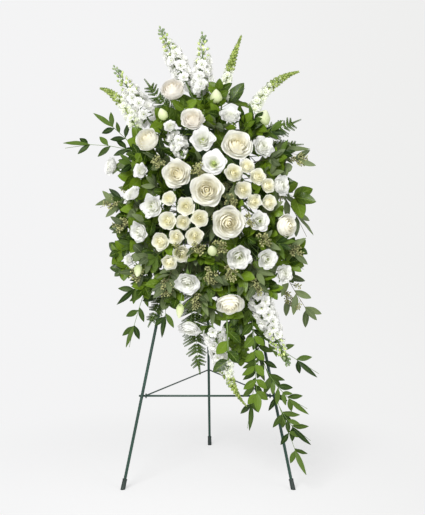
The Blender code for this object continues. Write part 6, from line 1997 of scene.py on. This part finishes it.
def leafy_filler(skin, x, z, behind, kind, scale, rng):
    """A short stem with pairs of leaves at its end, a random distance behind the front."""
    course = filler_stem(skin, x, z, rng.uniform(*behind), LEAF_LOOKS[kind][2], 1.6, 0.7)
    total = length_of(course)
    spacing = LEAF_KINDS[kind][3] * CM * scale * 0.62
    pairs = max(2, min(5, round(0.6 * total / spacing)))
    for k in range(pairs):
        at, along = along_path(course, 1 - (k + 0.35) * spacing / total)
        for sign in (-1, 1):
            filler_leaf(skin, at, along, sign, kind, scale * (1 - 0.06 * k), rng)
    filler_leaf(skin, course[-1], tangents(course)[-1], 0, kind, 0.9 * scale, rng)


def make_stage():
    """A pale floor that fades into a bright wall all round, a dimmer ceiling, and soft lamps."""
    turns = [2 * math.pi * k / STAGE_SIDES for k in range(STAGE_SIDES)]
    rings = []
    for radius, height in STAGE_PROFILE:
        rings.append([Vector((radius * math.cos(t), radius * math.sin(t), height)) for t in turns])
    mesh = bpy.data.meshes.new("studio")
    mesh.from_pydata(joined(rings), [], ring_faces(len(rings), STAGE_SIDES) + [tuple(range(STAGE_SIDES))])
    floor = add_object("studio", mesh, (0, 0, -FLOOR_DROP))
    finish = Finish("studio", 0.9)
    finish.colour((*FLOOR_TONE, 1))
    glow = finish.add("ShaderNodeEmission")
    where = finish.add("ShaderNodeSeparateXYZ")
    finish.fill(where.inputs[0], finish.place)
    # the backdrop's glow dims from left to right: painted shade
    to_right = finish.span(where.outputs[0], *TONE_FADE)
    finish.fill(glow.inputs["Color"], finish.mix(to_right, BACKDROP_TONE, SHADED_RIGHT_GLOW))
    far = finish.add("ShaderNodeVectorMath", operation="LENGTH")
    finish.fill(far.inputs[0], finish.place)
    share = finish.span(far.outputs["Value"], *FLOOR_FADE, FLOOR_GLOW, 1.0)
    finish.blend(share, glow)
    mesh.materials.append(finish.made)

    scene = bpy.context.scene
    scene.view_settings.view_transform = "Standard"
    scene.world = bpy.data.worlds.new("ceiling")
    scene.world.use_nodes = True
    background = scene.world.node_tree.nodes["Background"]
    background.inputs["Color"].default_value = (*BACKDROP_TONE, 1)
    background.inputs["Strength"].default_value = CEILING_LIGHT

    for name, place, energy, width in LAMPS:
        lamp = bpy.data.lights.new(name, "AREA")
        lamp.energy = energy
        lamp.shape = "DISK"
        lamp.size = width
        add_object(name, lamp, SHIFT + Vector(place), SHIFT + Vector(LAMP_TARGET))


def make_camera():
    camera = bpy.data.cameras.new("camera")
    camera.lens = LENS
    camera.sensor_width = 36
    camera.clip_end = 100
    thing = add_object("camera", camera, SHIFT + Vector(CAMERA_PLACE), SHIFT + Vector(CAMERA_TARGET))
    bpy.context.scene.camera = thing


def dress():
    """All pieces, in the order in which their solids were built, because each stem, branch and
    leaf finds its way round what came before it."""
    make_finishes()
    make_stage()
    make_camera()
    dress_easel()
    for name in EASEL_NODES:
        remember_node(name)
    # cage and foam get finishes that are darkened with painted shade
    finish_cad_node("foam_cage", "cage")
    finish_cad_node("foam_block", "foam")
    keep_foam_clear()
    keep_fold_clear()
    keep_stalks_clear()
    dress_rose_heads()
    dress_stock()
    dress_spray_roses()
    dress_rose_stems()
    dress_lisianthus()
    dress_snapdragons()
    dress_ferns()
    dress_greens()
    dress_fillers()


dress()
